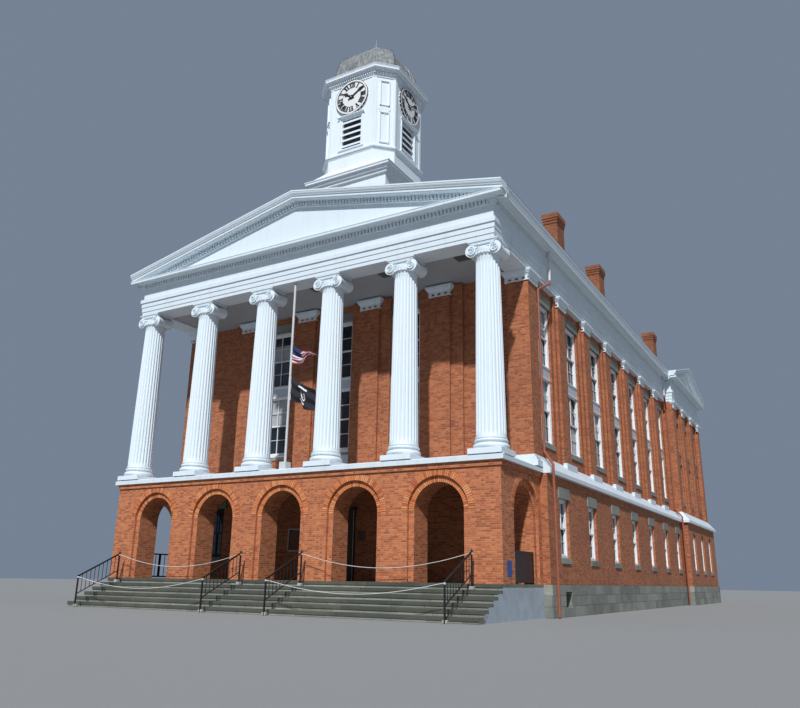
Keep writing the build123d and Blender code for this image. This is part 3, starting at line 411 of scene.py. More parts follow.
def brickFinish(name, glow, age):
    b = brickwork
    f = Finish(name)
    (x, y, z), (nx, ny, nz) = f.split(f.place), f.facing()
    flat = abs(nz) > 0.7
    across, rise = alongWall(x, y, nx), z * (1.0 - flat) + y * flat
    row = rise / b["course"]
    rowNumber = row.floor()
    # each row is a run of one whole brick and one half brick, three thirds in all
    pair = across / (b["length"] * 1.5) + (rowNumber + 600) % 2.0 * 0.5
    pairNumber = pair.floor()
    inPair = (pair - pairNumber) * 3.0
    columnNumber = pairNumber * 2.0 + (inPair > 2.0)
    inRow = row - rowNumber
    edgeRow = inRow.least(1.0 - inRow) * b["course"]
    nearest = inPair.least(3.0 - inPair).least(abs(inPair - 2.0))
    edge = edgeRow.least(nearest * (b["length"] * 0.5)) + (f.noise(60, 3) - 0.5) * 0.004
    body = f.remap(edge, b["joint"] * 0.35, b["joint"] * 0.9)
    tint = f.chance(f.combine(columnNumber, rowNumber))
    colour = f.ramp(tint, (0.0, b["dark"]), (0.10, b["dark"]), (0.24, b["middle"]),
                    (0.70, b["bright"]), (1.0, b["middle"]))
    colour = f.shade(colour, f.remap(f.noise(34, 6, 0.7), 0.3, 0.7, (0.78, 1.16)))
    colour = f.mix(body, b["mortar"], colour)
    patch = f.remap(f.noise(0.5, 4, 0.6), 0.42, 0.66)
    streak = f.remap(f.noise(1.0, 5, 0.6, f.stretched(2.2, 2.2, 0.22)), 0.5, 0.74)
    colour = f.mix((patch * 0.6 + streak * 0.4) * age, colour, b["soot"])
    colour = f.mix(1.0, colour, (glow, glow * 0.98, glow * 0.95), "MULTIPLY")
    return f.done(colour, 0.86, f.bump(body + f.noise(80, 3) * 0.25, b["relief"], 0.8))


def pargedFinish(name):
    # pale render on rough stone; it has come away towards the foot of the stair
    f = Finish(name)
    x, y, z = f.split(f.place)
    cover = f.remap(y + f.noise(2.2, 5, 0.65) * 1.1 + z * -0.55, -0.95, -0.90)
    stain = f.remap(f.noise(1.6, 7, 0.68), 0.42, 0.72, (0.0, 0.55))
    render = f.mix(stain, (0.40, 0.46, 0.52), (0.24, 0.26, 0.26))
    stone = f.mix(f.remap(f.noise(5.0, 7, 0.7), 0.35, 0.65), (0.10, 0.105, 0.08),
                  (0.24, 0.24, 0.20))
    height = cover + f.noise(16, 7, 0.7) * 0.4
    return f.done(f.mix(cover, stone, render), 0.9, f.bump(height, 0.012, 0.7))


paintwork = {"grime": (0.42, 0.42, 0.38), "boards": 0.18}


def paintFinish(name, colour, grime, boards=False):
    f = Finish(name)
    streak = f.remap(f.noise(1.6, 6, 0.62, f.stretched(2.6, 2.6, 0.22)), 0.5, 0.78)
    specks = f.remap(f.noise(9, 7, 0.7), 0.56, 0.8)
    paint = f.mix((streak * 0.8 + specks * 0.5) * grime, colour, paintwork["grime"])
    height = f.noise(38, 4, 0.6, f.stretched(1.0, 1.0, 0.18))
    distance = 0.0025
    if boards:
        joint = (f.split(f.place)[2] / paintwork["boards"]).fract()
        groove = f.remap(joint.least(1.0 - joint), 0.0, 0.03)
        height = height * 0.3 + groove
        distance = 0.006
        paint = f.mix((1.0 - groove) * 0.5, paint, paintwork["grime"])
    return f.done(paint, f.remap(f.noise(5, 4), 0.3, 0.7, (0.42, 0.62)),
                  f.bump(height, distance, 0.6))


def stoneFinish(name, light, dark, block, grime, age, riserPaintedShade=0.0):
    # coursed stone blocks with open joints; block is (length, height); the last argument darkens
    # faces towards -Y, the risers, as painted shade
    f = Finish(name)
    (x, y, z), (nx, ny, nz) = f.split(f.place), f.facing()
    row = z / block[1]
    column = alongWall(x, y, nx) / block[0] + row.floor() * 0.37
    inRow, inColumn = row.fract(), column.fract()
    edge = (inRow.least(1.0 - inRow) * block[1]).least(
        inColumn.least(1.0 - inColumn) * block[0])
    body = f.remap(edge, 0.002, 0.010)
    tint = f.chance(f.combine(column.floor(), row.floor()))
    layers = f.noise(3.0, 8, 0.65, f.stretched(1.0, 1.0, 6.0), 0.3)
    colour = f.ramp(tint * 0.45 + layers * 0.6, (0.15, dark), (0.8, light))
    colour = f.mix(f.remap(f.noise(1.3, 6, 0.65), 0.45, 0.72) * age, colour, grime)
    colour = f.mix(body, tuple(c * 0.45 for c in dark), colour)
    # painted shade: faces looking towards -Y, the risers, are darkened towards near-black
    if riserPaintedShade:
        colour = f.mix((ny < -0.6) * riserPaintedShade, colour, (0.028, 0.026, 0.022))
    return f.done(colour, 0.88, f.bump(body + f.noise(14, 8, 0.7) * 0.5, 0.012, 0.7))


def metalFinish(name, colour, rust, share=0.3, rough=0.5, metal=0.0, scale=6.0):
    f = Finish(name)
    wear = f.remap(f.noise(scale, 8, 0.7), 0.45, 0.75)
    tint = f.shade(f.mix(wear * share, colour, rust),
                   f.remap(f.noise(scale * 5, 5), 0.3, 0.7, (0.85, 1.1)))
    shine = f.remap(wear, 0.0, 1.0, (rough, min(1.0, rough + 0.3)))
    return f.done(tint, shine, f.bump(f.noise(scale * 8, 5), 0.002, 0.5), metal)


def pipeFinish(name, above, below, level):
    # painted like the white trim above a level and like the brick below it
    f = Finish(name)
    high = f.split(f.place)[2] > level
    colour = f.shade(f.mix(high, below, above),
                     f.remap(f.noise(5.0, 8, 0.7), 0.35, 0.75, (0.78, 1.08)))
    return f.done(colour, 0.5, f.bump(f.noise(40, 5), 0.002, 0.5))


def domeFinish(name):
    # old sheet metal, mottled pale and dark, with stains that run down
    f = Finish(name)
    run = f.noise(7.0, 6, 0.65, f.stretched(1.0, 1.0, 0.2))
    colour = f.ramp(f.noise(5.5, 9, 0.72) * 0.65 + run * 0.35, (0.30, (0.09, 0.095, 0.10)),
                    (0.46, (0.20, 0.21, 0.215)), (0.57, (0.33, 0.335, 0.33)),
                    (0.75, (0.52, 0.51, 0.47)))
    return f.done(colour, 0.6, f.bump(f.noise(30, 6, 0.7), 0.006, 0.6), 0.25)


def glassFinish(name):
    f = Finish(name)
    # opaque near-black panes: the shade of the dim rooms behind is painted into them, in broad
    # blotches of slightly varying tint
    tint = f.ramp(f.noise(0.35, 3), (0.35, (0.006, 0.009, 0.013)), (0.65, (0.035, 0.045, 0.06)))
    f.shader.inputs["Specular IOR Level"].default_value = 0.75
    return f.done(tint, 0.06, f.bump(f.noise(1.7, 3), 0.004, 0.35))


# the settings of each finish, in the order of its maker's arguments

finishTables = {
    brickFinish: {
        "arcadeBrick": (1.12, 0.18), "wallBrick": (0.92, 0.34), "chimneyBrick": (0.72, 0.5)},
    paintFinish: {
        "columnPaint": ((0.74, 0.82, 0.87), 0.22), "whitePaint": ((0.71, 0.79, 0.84), 0.28),
        "towerPaint": ((0.80, 0.87, 0.92), 0.22), "sashPaint": ((0.78, 0.79, 0.80), 0.2),
        # the portico ceiling's grey paint is darkened further as painted shade
        "ceilingPaint": ((0.37, 0.40, 0.42), 0.3, True),
        "ledgePaint": ((0.68, 0.75, 0.80), 0.5), "panelPaint": ((0.50, 0.56, 0.61), 0.3)},
    stoneFinish: {
        "bluestone": ((0.30, 0.315, 0.275), (0.135, 0.15, 0.135), (3.1, 2.9),
                      (0.07, 0.08, 0.07), 0.55),
        "baseStone": ((0.33, 0.34, 0.29), (0.16, 0.17, 0.15), (1.15, 0.35),
                      (0.08, 0.085, 0.07), 0.5),
        # the last number of the step stone darkens its risers as painted shade
        "stepStone": ((0.20, 0.207, 0.158), (0.10, 0.115, 0.095), (1.9, 9.0),
                      (0.06, 0.07, 0.045), 0.6, 0.6),
        "footing": ((0.50, 0.49, 0.44), (0.30, 0.30, 0.26), (3.1, 2.9), (0.12, 0.12, 0.10),
                    0.4)},
    metalFinish: {
        "mortar": ((0.17, 0.075, 0.04), (0.10, 0.05, 0.03), 0.6, 0.9),
        "archBrick": ((0.66, 0.215, 0.075), (0.44, 0.13, 0.05), 0.6, 0.86, 0.0, 9.0),
        "archBrickPale": ((0.72, 0.30, 0.13), (0.5, 0.17, 0.07), 0.5, 0.86, 0.0, 9.0),
        "archBrickDark": ((0.46, 0.125, 0.045), (0.28, 0.07, 0.03), 0.6, 0.86, 0.0, 9.0),
        "roofing": ((0.17, 0.175, 0.18), (0.09, 0.09, 0.09), 0.6, 0.7, 0.0, 2.5),
        "blackIron": ((0.012, 0.012, 0.013), (0.06, 0.035, 0.025), 0.3, 0.35),
        "handPaint": ((0.010, 0.010, 0.011), (0.03, 0.03, 0.03), 0.3, 0.4),
        "dialPaint": ((0.82, 0.83, 0.82), (0.5, 0.5, 0.47), 0.25, 0.4),
        "polePaint": ((0.62, 0.63, 0.63), (0.35, 0.35, 0.33), 0.4, 0.4),
        "floorBoards": ((0.19, 0.11, 0.06), (0.08, 0.05, 0.03), 0.6, 0.6),
        "doorWood": ((0.115, 0.045, 0.022), (0.05, 0.02, 0.012), 0.6, 0.4),
        "ropeFibre": ((0.66, 0.65, 0.62), (0.4, 0.39, 0.35), 0.4, 0.9),
        "drawnBlind": ((0.40, 0.43, 0.44), (0.30, 0.33, 0.35), 0.5, 0.25, 0.0, 0.8),
        # near-black brown for the entrance surround and the porch windows: painted shade of the
        # portico on their trim
        "darkFrame": ((0.035, 0.022, 0.018), (0.05, 0.03, 0.02), 0.4, 0.5),
        "bronze": ((0.10, 0.065, 0.035), (0.03, 0.035, 0.03), 0.6, 0.4, 0.6),
        "signBlue": ((0.018, 0.075, 0.30), (0.05, 0.10, 0.25), 0.3, 0.35),
        "flagRed": ((0.42, 0.020, 0.028), (0.30, 0.015, 0.02), 0.5, 0.8),
        "flagWhite": ((0.74, 0.75, 0.78), (0.60, 0.62, 0.66), 0.5, 0.8),
        "flagBlue": ((0.012, 0.020, 0.085), (0.01, 0.015, 0.05), 0.5, 0.8),
        "flagBlack": ((0.010, 0.010, 0.014), (0.02, 0.02, 0.025), 0.5, 0.8),
        "smokedPane": ((0.10, 0.105, 0.11), (0.06, 0.06, 0.06), 0.4, 0.35)},
    pipeFinish: {"brownPipe": ((0.72, 0.74, 0.76), (0.34, 0.105, 0.055), 12.42)},
    pargedFinish: {"parging": ()},
    domeFinish: {"domeMetal": ()},
    glassFinish: {"windowGlass": ()},
}
finishes = {name: make(name, *settings) for make, table in finishTables.items()
            for name, settings in table.items()}
print("finishes made:", len(finishes))

nodeFinishes = {
    "arcadeBrick": "arcade_front arcade_sides",
    "wallBrick": "ground_wall_front ground_wall_left ground_wall_right ground_wall_rear "
                 "upper_wall_front upper_wall_left upper_wall_right upper_wall_rear",
    "chimneyBrick": "chimneys", "baseStone": "foundation stair_base",
    "stepStone": "stair_treads porch_floor", "bluestone": "window_stones",
    "ceilingPaint": "portico_soffit", "ledgePaint": "belt_course portico_deck",
    "towerPaint": "tower_base tower_plinth clock_stage tower_cornice tower_louvres",
    "domeMetal": "dome", "roofing": "main_roof pavilion_roof", "windowGlass": "window_glass",
    "sashPaint": "ground_window_frames upper_window_frames",
    "floorBoards": "ground_floor second_floor third_floor attic_floor",
    "doorWood": "entrance_doors", "dialPaint": "clock_dials",
    "blackIron": "stair_railings side_arch_guards", "polePaint": "flagpole",
    "brownPipe": "downspouts", "ropeFibre": "flags stair_ropes", "darkFrame": "entrance",
}
finishOf = {nodeName: finish for finish, names in nodeFinishes.items()
            for nodeName in names.split()}
for nodeName, node in frame["nodes"].items():
    plain = "handPaint" if nodeName.endswith("_hand") else "whitePaint"
    node.data.materials.clear()
    node.data.materials.append(finishes[finishOf.get(nodeName, plain)])


def paintFaces(nodeName, finish, chooses):
    # some faces of one solid take a second finish; chooses is given a face's middle and normal
    node = frame["nodes"][nodeName]
    node.data.materials.append(finishes[finish])
    for polygon in node.data.polygons:
        if chooses(node.matrix_world @ polygon.center, polygon.normal):
            polygon.material_index = 1


paintFaces("stair_base", "parging", lambda middle, normal: abs(normal.x) > 0.9)
# the porch windows' frames take the near-black painted shade
paintFaces("ground_window_frames", "darkFrame", lambda middle, normal: middle.y < 3.7)
print("solids painted:", len(frame["nodes"]))


# sizes that several pieces share, in metres, as in the solids

house = {"porch": 1.05, "bodyHalf": 8.45, "arcadeHalf": 8.5, "pavilionOut": 0.45,
         "pierFace": 3.09, "pavilionFront": 27.0, "rearFace": 36.5, "deck": 4.91,
         "architrave": 12.19, "dentilFoot": 13.42, "coronaFoot": 13.61, "coronaTop": 13.73,
         "eaveTop": 14.05, "ridge": 15.94, "pavilionRidge": 15.45, "eaveOut": 0.5,
         "columnPitch": 3.206, "sidePitch": 3.46, "firstSidePilaster": 6.84,
         "sidePilasters": 6, "pilasterWidth": 0.85, "panelRecess": 0.22}
h = house
columnPlaces = [h["columnPitch"] * (i - 2.5) for i in range(6)]
frontBays = [h["columnPitch"] * (i - 2) for i in range(5)]
sidePlaces = [h["firstSidePilaster"] + h["sidePitch"] * i for i in range(h["sidePilasters"])]
sideBays = [place - h["sidePitch"] / 2 for place in sidePlaces]
sideBays.append((sidePlaces[-1] + h["pavilionFront"] + h["pilasterWidth"] / 2) / 2)
pavilionPitch = (h["rearFace"] - h["pavilionFront"] - h["pilasterWidth"]) / 3
pavilionPlaces = [h["pavilionFront"] + h["pilasterWidth"] / 2 + pavilionPitch * i
                  for i in range(4)]
pavilionBays = [place + pavilionPitch / 2 for place in pavilionPlaces[:-1]]
pavilionHalf = h["bodyHalf"] + h["pavilionOut"]
pavilionMiddle = (h["pavilionFront"] + h["rearFace"]) / 2
pavilionReach = (h["rearFace"] - h["pavilionFront"]) / 2 + h["eaveOut"]
eaveHalf = h["bodyHalf"] + h["eaveOut"]
mainSlope = (h["ridge"] - h["eaveTop"]) / eaveHalf
pavilionSlope = (h["pavilionRidge"] - h["eaveTop"]) / pavilionReach


def footprint(grow):
    near, turn, far = -grow, h["pavilionFront"] - grow, h["rearFace"] + grow
    narrow, wide = h["bodyHalf"] + grow, pavilionHalf + grow
    return [(-narrow, near), (narrow, near), (narrow, turn), (wide, turn), (wide, far),
            (-wide, far), (-wide, turn), (-narrow, turn)]


# brick rings round the arches

archRings = {"radius": 1.08, "crown": 4.334, "order": 0.2, "orderDepth": 0.10,
             "recessBack": 0.345, "outerBricks": 49, "innerBricks": 41, "outerWidth": 0.215,
             "innerWidth": 0.2, "joint": 0.014, "proud": 0.012, "seed": 7, "archPitch": 3.16,
             "archCount": 5, "sidePlace": 2.03, "steps": 48, "tints": (0, 0, 0, 1, 2)}


def arc(radius, y):
    # points round the head of an arch at x = 0
    a = archRings
    spring = a["crown"] - a["radius"]
    angles = [math.pi * i / a["steps"] for i in range(a["steps"] + 1)]
    return [(radius * math.cos(angle), y, spring + radius * math.sin(angle))
            for angle in angles]


def archRing(inner, width, bricks, face):
    # bricks and their mortar bed, on an arch at x = 0 that faces -Y
    a = archRings
    spring = a["crown"] - a["radius"]
    outer = inner + width
    inside, outside = (radius * math.pi / bricks - a["joint"] for radius in (inner, outer))
    brick = box((inner + 0.003, outer - 0.004), (face - a["proud"], face + 0.02),
                (-inside / 2, inside / 2))
    for vertex in brick.data.vertices:
        if vertex.co.x > inner + width / 2:
            vertex.co.z *= outside / inside
    moved(brick, at(0, 0, spring, -90 / bricks, "Y"))
    spinCopies(brick, bricks, math.pi, (0, face, spring), (0, 1, 0))
    bed = bridge([arc(radius, face - out) for radius, out in
                  ((inner, 0.004), (outer, 0.004), (outer, -0.01), (inner, -0.01))])
    return brick, bed


def archLiner():
    # brickwork that brings the arch's inner order forward, jambs and ring in one
    a = archRings
    inner, outer = a["radius"] - a["order"], a["radius"] + 0.01
    front, back = a["orderDepth"], a["recessBack"]
    rows = []
    for radius, y in ((inner, front), (outer, front), (outer, back), (inner, back)):
        rows.append([(radius, y, h["porch"]), *arc(radius, y), (-radius, y, h["porch"])])
    return bridge(rows)


def addArchRings():
    a = archRings
    bricks, beds = [], []
    places = [at(a["archPitch"] * (i - 2), 0, 0) for i in range(a["archCount"])]
    places += [at(side * h["arcadeHalf"], a["sidePlace"], 0, side * 90) for side in sides]
    for radius, width, count, face in (
            (a["radius"], a["outerWidth"], a["outerBricks"], 0.0),
            (a["radius"] - a["order"], a["innerWidth"], a["innerBricks"], a["orderDepth"])):
        brick, bed = archRing(radius, width, count, face)
        bricks += spread(brick, places)
        beds += spread(bed, places)
    liners = spread(archLiner(), places)
    rings = finished("archBricks", bricks, "archBrick")
    for finish in ("archBrickPale", "archBrickDark"):
        rings.data.materials.append(finishes[finish])
    draw = random.Random(a["seed"])
    facesOfBrick = 6
    tints = [draw.choice(a["tints"])
             for i in range(len(rings.data.polygons) // facesOfBrick)]
    for i, polygon in enumerate(rings.data.polygons):
        polygon.material_index = tints[i // facesOfBrick]
    finished("archMortar", beds, "mortar")
    finished("archLiners", liners, "arcadeBrick")


addArchRings()
print("arch rings laid")


# fluted columns with moulded bases and spiral volutes

column = {"line": 0.45, "flutes": 24, "footRadius": 0.485, "neckRadius": 0.405, "foot": 5.45,
          "top": 11.62, "fluteDepth": 0.036, "fluteSteps": 7, "fillet": 0.24,
          "plinthTop": 5.085, "baseRolls": ((0.495, 5.175, 0.09), (0.50, 5.345, 0.045)),
          "plinth": 0.58, "voluteRadius": 0.225, "voluteSpread": 0.433, "capitalDepth": 0.9,
          "abacus": 0.1, "turns": 2.2, "stepsPerTurn": 24, "coil": 0.115, "band": 0.66,
          "bandOut": 0.055, "eye": 0.042, "eggs": 24, "egg": (0.038, 0.466, 0.096),
          "neck": ((0.40, 0.0), (0.42, 0.004), (0.425, 0.02), (0.412, 0.035), (0.415, 0.045),
                   (0.455, 0.075), (0.475, 0.115))}


def shaftRadius(share):
    # a slight swelling on the way up
    c = column
    return c["footRadius"] + (c["neckRadius"] - c["footRadius"]) * (share * 0.75
                                                                    + share ** 2 * 0.25)


def addShaft():
    c = column
    height = c["top"] - c["foot"]
    ends = (0.0, 0.012, 0.02, 0.03, 0.038)
    rows = []
    for share in [*ends, 0.2, 0.35, 0.5, 0.65, 0.8, *(1 - share for share in reversed(ends))]:
        edge = min(share, 1 - share)
        hollow = 0.0 if edge < 0.0121 else min(1.0, math.sqrt((edge - 0.012) / 0.026))
        radius = shaftRadius(share) + (0.012 if edge < 0.0001 else 0.0)
        row = []
        for i in range(c["flutes"]):
            for j in range(c["fluteSteps"] + 1):
                along = j / c["fluteSteps"]
                angle = 2 * math.pi / c["flutes"] * (i + c["fillet"] / 2
                                                     + (1 - c["fillet"]) * along)
                reach = radius - c["fluteDepth"] * math.sin(math.pi * along) ** 0.7 * hollow
                row.append((reach * math.cos(angle), reach * math.sin(angle) + c["line"],
                            c["foot"] + height * share))
        rows.append(row)
    piece = bridge(rows, ring=True, wrap=False)
    bpy.ops.object.shade_smooth_by_angle(angle=math.radians(40))
    return piece


def addBase():
    c = column
    turned = [(0.30, c["plinthTop"])]
    for radius, centre, half in c["baseRolls"]:
        for i in range(11):
            angle = math.pi * (i / 10 - 0.5)
            turned.append((radius + half * math.cos(angle), centre + half * math.sin(angle)))
        turned += [(radius + out, centre + half + rise)
                   for out, rise in ((0.012, 0.004), (0.0, 0.012), (-0.004, 0.022))]
    turned += [(0.512, c["foot"] - 0.03), (0.512, c["foot"]), (0.30, c["foot"])]
    side = c["plinth"]
    return joinAll("columnBase", [lathe(turned, 64, (0, c["line"], 0)),
                                  box((-side, side), (c["line"] - side, c["line"] + side),
                                      (h["deck"], c["plinthTop"]), 0.008)])


def addVolute():
    # a raised band that winds in to the eye, drawn on the plane y = 0 and facing -Y
    c = column
    out = c["bandOut"]
    rows = [[], [], [], [], []]
    for i in range(int(c["turns"] * c["stepsPerTurn"]) + 1):
        turn = 2 * math.pi * i / c["stepsPerTurn"]
        outer = c["voluteRadius"] * math.exp(-c["coil"] * turn)
        inner = outer * c["band"]
        angle = math.pi / 2 + turn
        for row, radius, deep in zip(rows, (outer, outer * 0.985, (outer + inner) / 2,
                                            inner * 1.02, inner),
                                     (0.0, out, out * 0.8, out, 0.0)):
            row.append((radius * math.cos(angle), -deep, radius * math.sin(angle)))
    return joinAll("volute", [bridge(rows), ball(c["eye"], (0, 0, 0), 16, 8, (1, 1.15, 1))])


def voluteRoll():
    # the bolster between two volutes: waisted, with a bead round its middle
    c = column
    roll = []
    for i in range(13):
        share = i / 12
        waist = 0.80 + 0.20 * abs(2 * share - 1) ** 1.6
        roll.append((c["voluteRadius"] * waist + (0.012 if i == 6 else 0.0),
                     share * (c["capitalDepth"] - 0.1)))
    return lathe([(0.0, roll[0][1]), *roll, (0.0, roll[-1][1])], 32)


def addCapital():
    c = column
    top, radius, apart = h["architrave"], c["voluteRadius"], c["voluteSpread"]
    centre = top - c["abacus"] - radius - 0.01
    y0, y1 = c["line"] - c["capitalDepth"] / 2, c["line"] + c["capitalDepth"] / 2
    wide = apart + 0.13
    parts = [box((-wide, wide), (y0, y1), (top - 0.045, top), 0.006),
             box((-wide + 0.035, wide - 0.035), (y0 + 0.03, y1 - 0.03),
                 (top - c["abacus"], top - 0.04), 0.012),
             box((-apart, apart), (y0 + 0.065, y1 - 0.065),
                 (centre + 0.07, top - c["abacus"] + 0.005))]
    for low, high in ((radius - 0.05, radius), (0.06, 0.095)):
        parts.append(box((-apart, apart), (y0 + 0.012, y1 - 0.012),
                         (centre + low, centre + high), 0.006))
    neck = [(r, c["top"] + rise) for r, rise in c["neck"]]
    neck += [(0.470, centre + 0.05), (0.30, centre + 0.06)]
    parts.append(lathe(neck, 48, (0, c["line"], 0)))
    size, reach, rise = c["egg"]
    egg = ball(size, (reach, c["line"], c["top"] + rise), 10, 6, (1.0, 1.0, 1.35))
    parts.append(spinCopies(egg, c["eggs"], 2 * math.pi, (0, c["line"], 0), (0, 0, 1)))
    ends = []
    for side in (-1, 1):
        parts.append(moved(voluteRoll(), at(side * apart, y0 + 0.05, centre, -90, "X")))
        ends += [at(side * apart, end, centre) @ Matrix.Diagonal((side, facing, 1, 1))
                 for end, facing in ((y0 + 0.051, 1), (y1 - 0.051, -1))]
    return joinAll("columnCapital", parts + spread(addVolute(), ends))


def addColumns():
    for name, piece, node in (("columnShafts", addShaft(), "column_shafts"),
                              ("columnBases", addBase(), "column_bases"),
                              ("columnCapitals", addCapital(), "column_capitals")):
        copies = spread(piece, [at(x, 0, 0) for x in columnPlaces])
        row = finished(name, copies, "columnPaint")
        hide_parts(node)


addColumns()
print("columns raised")


# main cornice: corona, dentils, crown moulding, and the raking cornices of the gables

cornice = {"dentilPitch": 0.148, "dentilWidth": 0.088, "dentilHeight": 0.145,
           "dentilOut": 0.105, "dentilFoot": 13.455, "dentilMargin": 0.18, "corner": 0.26,
           "rakeFall": 0.345,
           "crown": ((0.395, 0.0), (0.408, 0.035), (0.418, 0.07), (0.438, 0.115),
                     (0.462, 0.155), (0.478, 0.195), (0.482, 0.235), (0.498, 0.245),
                     (0.498, 0.315)),
           "rake": ((0.498, 0.002), (0.498, 0.06), (0.484, 0.066), (0.478, 0.105),
                    (0.458, 0.145), (0.432, 0.175), (0.420, 0.205), (0.385, 0.210),
                    (0.385, 0.305), (0.345, 0.305), (0.345, 0.32), (0.155, 0.32),
                    (0.148, 0.335), (0.02, 0.338), (0.02, 0.495), (0.055, 0.498),
                    (0.05, 0.53), (0.02, 0.55), (-0.02, 0.55), (-0.02, 0.002))}


def addCorniceRing():
    foot, low, top = h["dentilFoot"], h["coronaFoot"], h["coronaTop"]
    profile = [(-0.3, foot), (0.02, foot), (0.045, foot + 0.008), (0.052, foot + 0.03),
               (0.012, foot + 0.034), (0.012, low - 0.012), (0.125, low - 0.010),
               (0.150, low + 0.004), (0.158, low + 0.018), (0.40, low + 0.018),
               (0.40, low - 0.002), (0.455, low - 0.002), (0.455, top - 0.03),
               (0.468, top - 0.025), (0.470, top), (-0.3, top)]
    return bridge([[(x, y, z) for x, y in footprint(out)] for out, z in profile], ring=True)


def addEaves():
    # the crown moulding of the two long eaves, mitred to the rakes by the gable's ends
    inner, foot = h["bodyHalf"] - 0.3, h["coronaTop"]
    outline = [(inner, foot), *((h["bodyHalf"] + out, foot + rise)
                                for out, rise in cornice["crown"]),
               (inner, foot + 0.315 + (eaveHalf - inner) * mainSlope * 0.95)]
    end = pavilionMiddle - pavilionReach
    return [bridge([[(side * x, -0.002, z), (side * x, end, z)] for x, z in outline])
            for side in sides]


def addDentils():
    c = cornice
    pitch, out, wide = c["dentilPitch"], c["dentilOut"], c["dentilWidth"]
    upright = (c["dentilFoot"], c["dentilFoot"] + c["dentilHeight"])
    rows = []

    def spaced(low, high):
        # the first block's start and the number of blocks that fit between two ends
        span = high - low - 2 * c["dentilMargin"]
        count = int(span / pitch)
        return low + c["dentilMargin"] + (span - (count - 1) * pitch - wide) / 2, count

    for half, y in ((h["bodyHalf"] + out, -out), (pavilionHalf + out, h["rearFace"] - 0.02)):
        start, count = spaced(-half, half)
        block = box((start, start + wide), (y, y + out + 0.02), upright)
        rows.append(arrayAlong(block, count, (pitch, 0, 0)))
    for x, low, high in ((h["bodyHalf"], -out, h["pavilionFront"] - out),
                         (pavilionHalf, h["pavilionFront"] - out, h["rearFace"] + out)):
        start, count = spaced(low, high)
        row = arrayAlong(box((x, x + out), (start, start + wide), upright), count,
                         (0, pitch, 0))
        rows += [row, copyOf(row, mirror)]
    for x, y in (footprint(out)[i] for i in (1, 3, 4)):
        deep = (y, y + c["corner"]) if y < pavilionMiddle else (y - c["corner"], y)
        rows += [box((side * x, side * (x - c["corner"])), deep, upright) for side in sides]
    return rows


def rakePiece(reach, ridge, fall):
    # drawn for a gable centred on x = 0 with its face at y = 0, facing -Y
    return bridge([[(x, -out, ridge - fall * abs(x) - drop) for x in (-reach, 0, reach)]
                   for out, drop in cornice["rake"]])


def rakeDentils(reach, ridge, fall):
    c = cornice
    pitch, wide, tall = c["dentilPitch"], c["dentilWidth"], c["dentilHeight"]
    low = (ridge - c["rakeFall"] - tall - h["coronaTop"] - 0.03) / fall
    block = box((0.02, 0.02 + wide), (-0.13, 0.02), (-tall, 0.0))
    for vertex in block.data.vertices:
        vertex.co.z += ridge - c["rakeFall"] - vertex.co.x * fall
    arrayAlong(block, int((min(reach, low) - 0.1) / pitch), (pitch, 0, -pitch * fall))
    return joinAll("rakeDentils", [block, copyOf(block, mirror)])


def addCornice():
    rakes, teeth = [], []
    gables = (((eaveHalf, h["ridge"], mainSlope), [at(0, 0, 0), at(0, h["rearFace"], 0, 180)]),
              ((pavilionReach, h["pavilionRidge"], pavilionSlope),
               [at(side * pavilionHalf, pavilionMiddle, 0, side * 90) for side in sides]))
    for sizes, places in gables:
        rakes += spread(rakePiece(*sizes), places)
        teeth += spread(rakeDentils(*sizes), places)
    crown = finished("mainCornice", [addCorniceRing(), *addEaves()], "whitePaint")
    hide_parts("cornice")
    gableRakes = finished("rakingCornices", rakes, "whitePaint")
    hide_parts("raking_cornices")
    finished("dentilRows", addDentils() + teeth, "whitePaint")


addCornice()
print("cornices moulded")


# metal roof with standing seams

roof = {"sheet": 0.03, "seamPitch": 0.55, "seamWidth": 0.03, "seamHeight": 0.035,
        "firstSeam": 0.3, "seamEnd": 0.05}


def addRoof():
    r = roof
    ridge, length = h["ridge"], h["rearFace"]
    rise = [(x, ridge - mainSlope * abs(x)) for x in (-eaveHalf, 0, eaveHalf)]
    outline = rise + [(x, z - r["sheet"]) for x, z in reversed(rise)]
    sheet = bridge([[(x, 0.0, z), (x, length, z)] for x, z in outline])
    seam = box((0.0, eaveHalf - r["seamEnd"]), (r["firstSeam"], r["firstSeam"]
                                                + r["seamWidth"]), (-0.005, r["seamHeight"]))
    for vertex in seam.data.vertices:
        vertex.co.z += ridge - vertex.co.x * mainSlope
    arrayAlong(seam, int(length / r["seamPitch"]), (0, r["seamPitch"], 0))
    cover = finished("mainRoof", [sheet, seam, copyOf(seam, mirror)], "roofing")
    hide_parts("main_roof")


addRoof()
print("roof covered")


# windows: sashes inside the frames, panels between the storeys, a few pale blinds

window = {"setBack": 0.10, "frameBar": 0.09, "stile": 0.05, "railHigh": 0.055, "bar": 0.030,
          "thinBar": 0.020, "sashDepth": 0.038, "split": (8.62, 9.05), "tallFoot": 6.05,
          "tallHead": 11.50, "tallWidth": {"front": 1.356, "side": 1.70},
          "casing": {"front": (0.085, 0.095), "side": (0.022, 0.012)}, "groundWidth": 1.0,
          "ground": (1.94, 3.98), "round": (1.94, 4.20), "smallWidth": 1.3,
          "smallLow": (6.05, 8.47), "smallHigh": (9.25, 11.15), "upperFace": 3.3,
          "porchFace": 3.4, "groundFace": 8.75, "pavilionGroundFace": 9.15,
          "rearGroundFace": 36.75}
blinds = {"depth": 0.214, "thick": 0.003,
          "drawn": (("front", 1, 7.33, 8.56), ("front", 1, 10.25, 11.0),
                    ("right", 0, 7.40, 8.56), ("right", 0, 10.3, 11.4),
                    ("right", 1, 6.20, 7.25), ("right", 2, 7.4, 8.56),
                    ("right", 4, 9.2, 10.2))}


def wallPlace(wall, place, face):
    # where a piece drawn for a wall face at y = 0 goes on one of the four walls
    if wall in ("front", "rear"):
        return at(place, face, 0, 180 if wall == "rear" else 0)
    side = 1 if wall == "right" else -1
    return at(side * face, place, 0, side * 90)


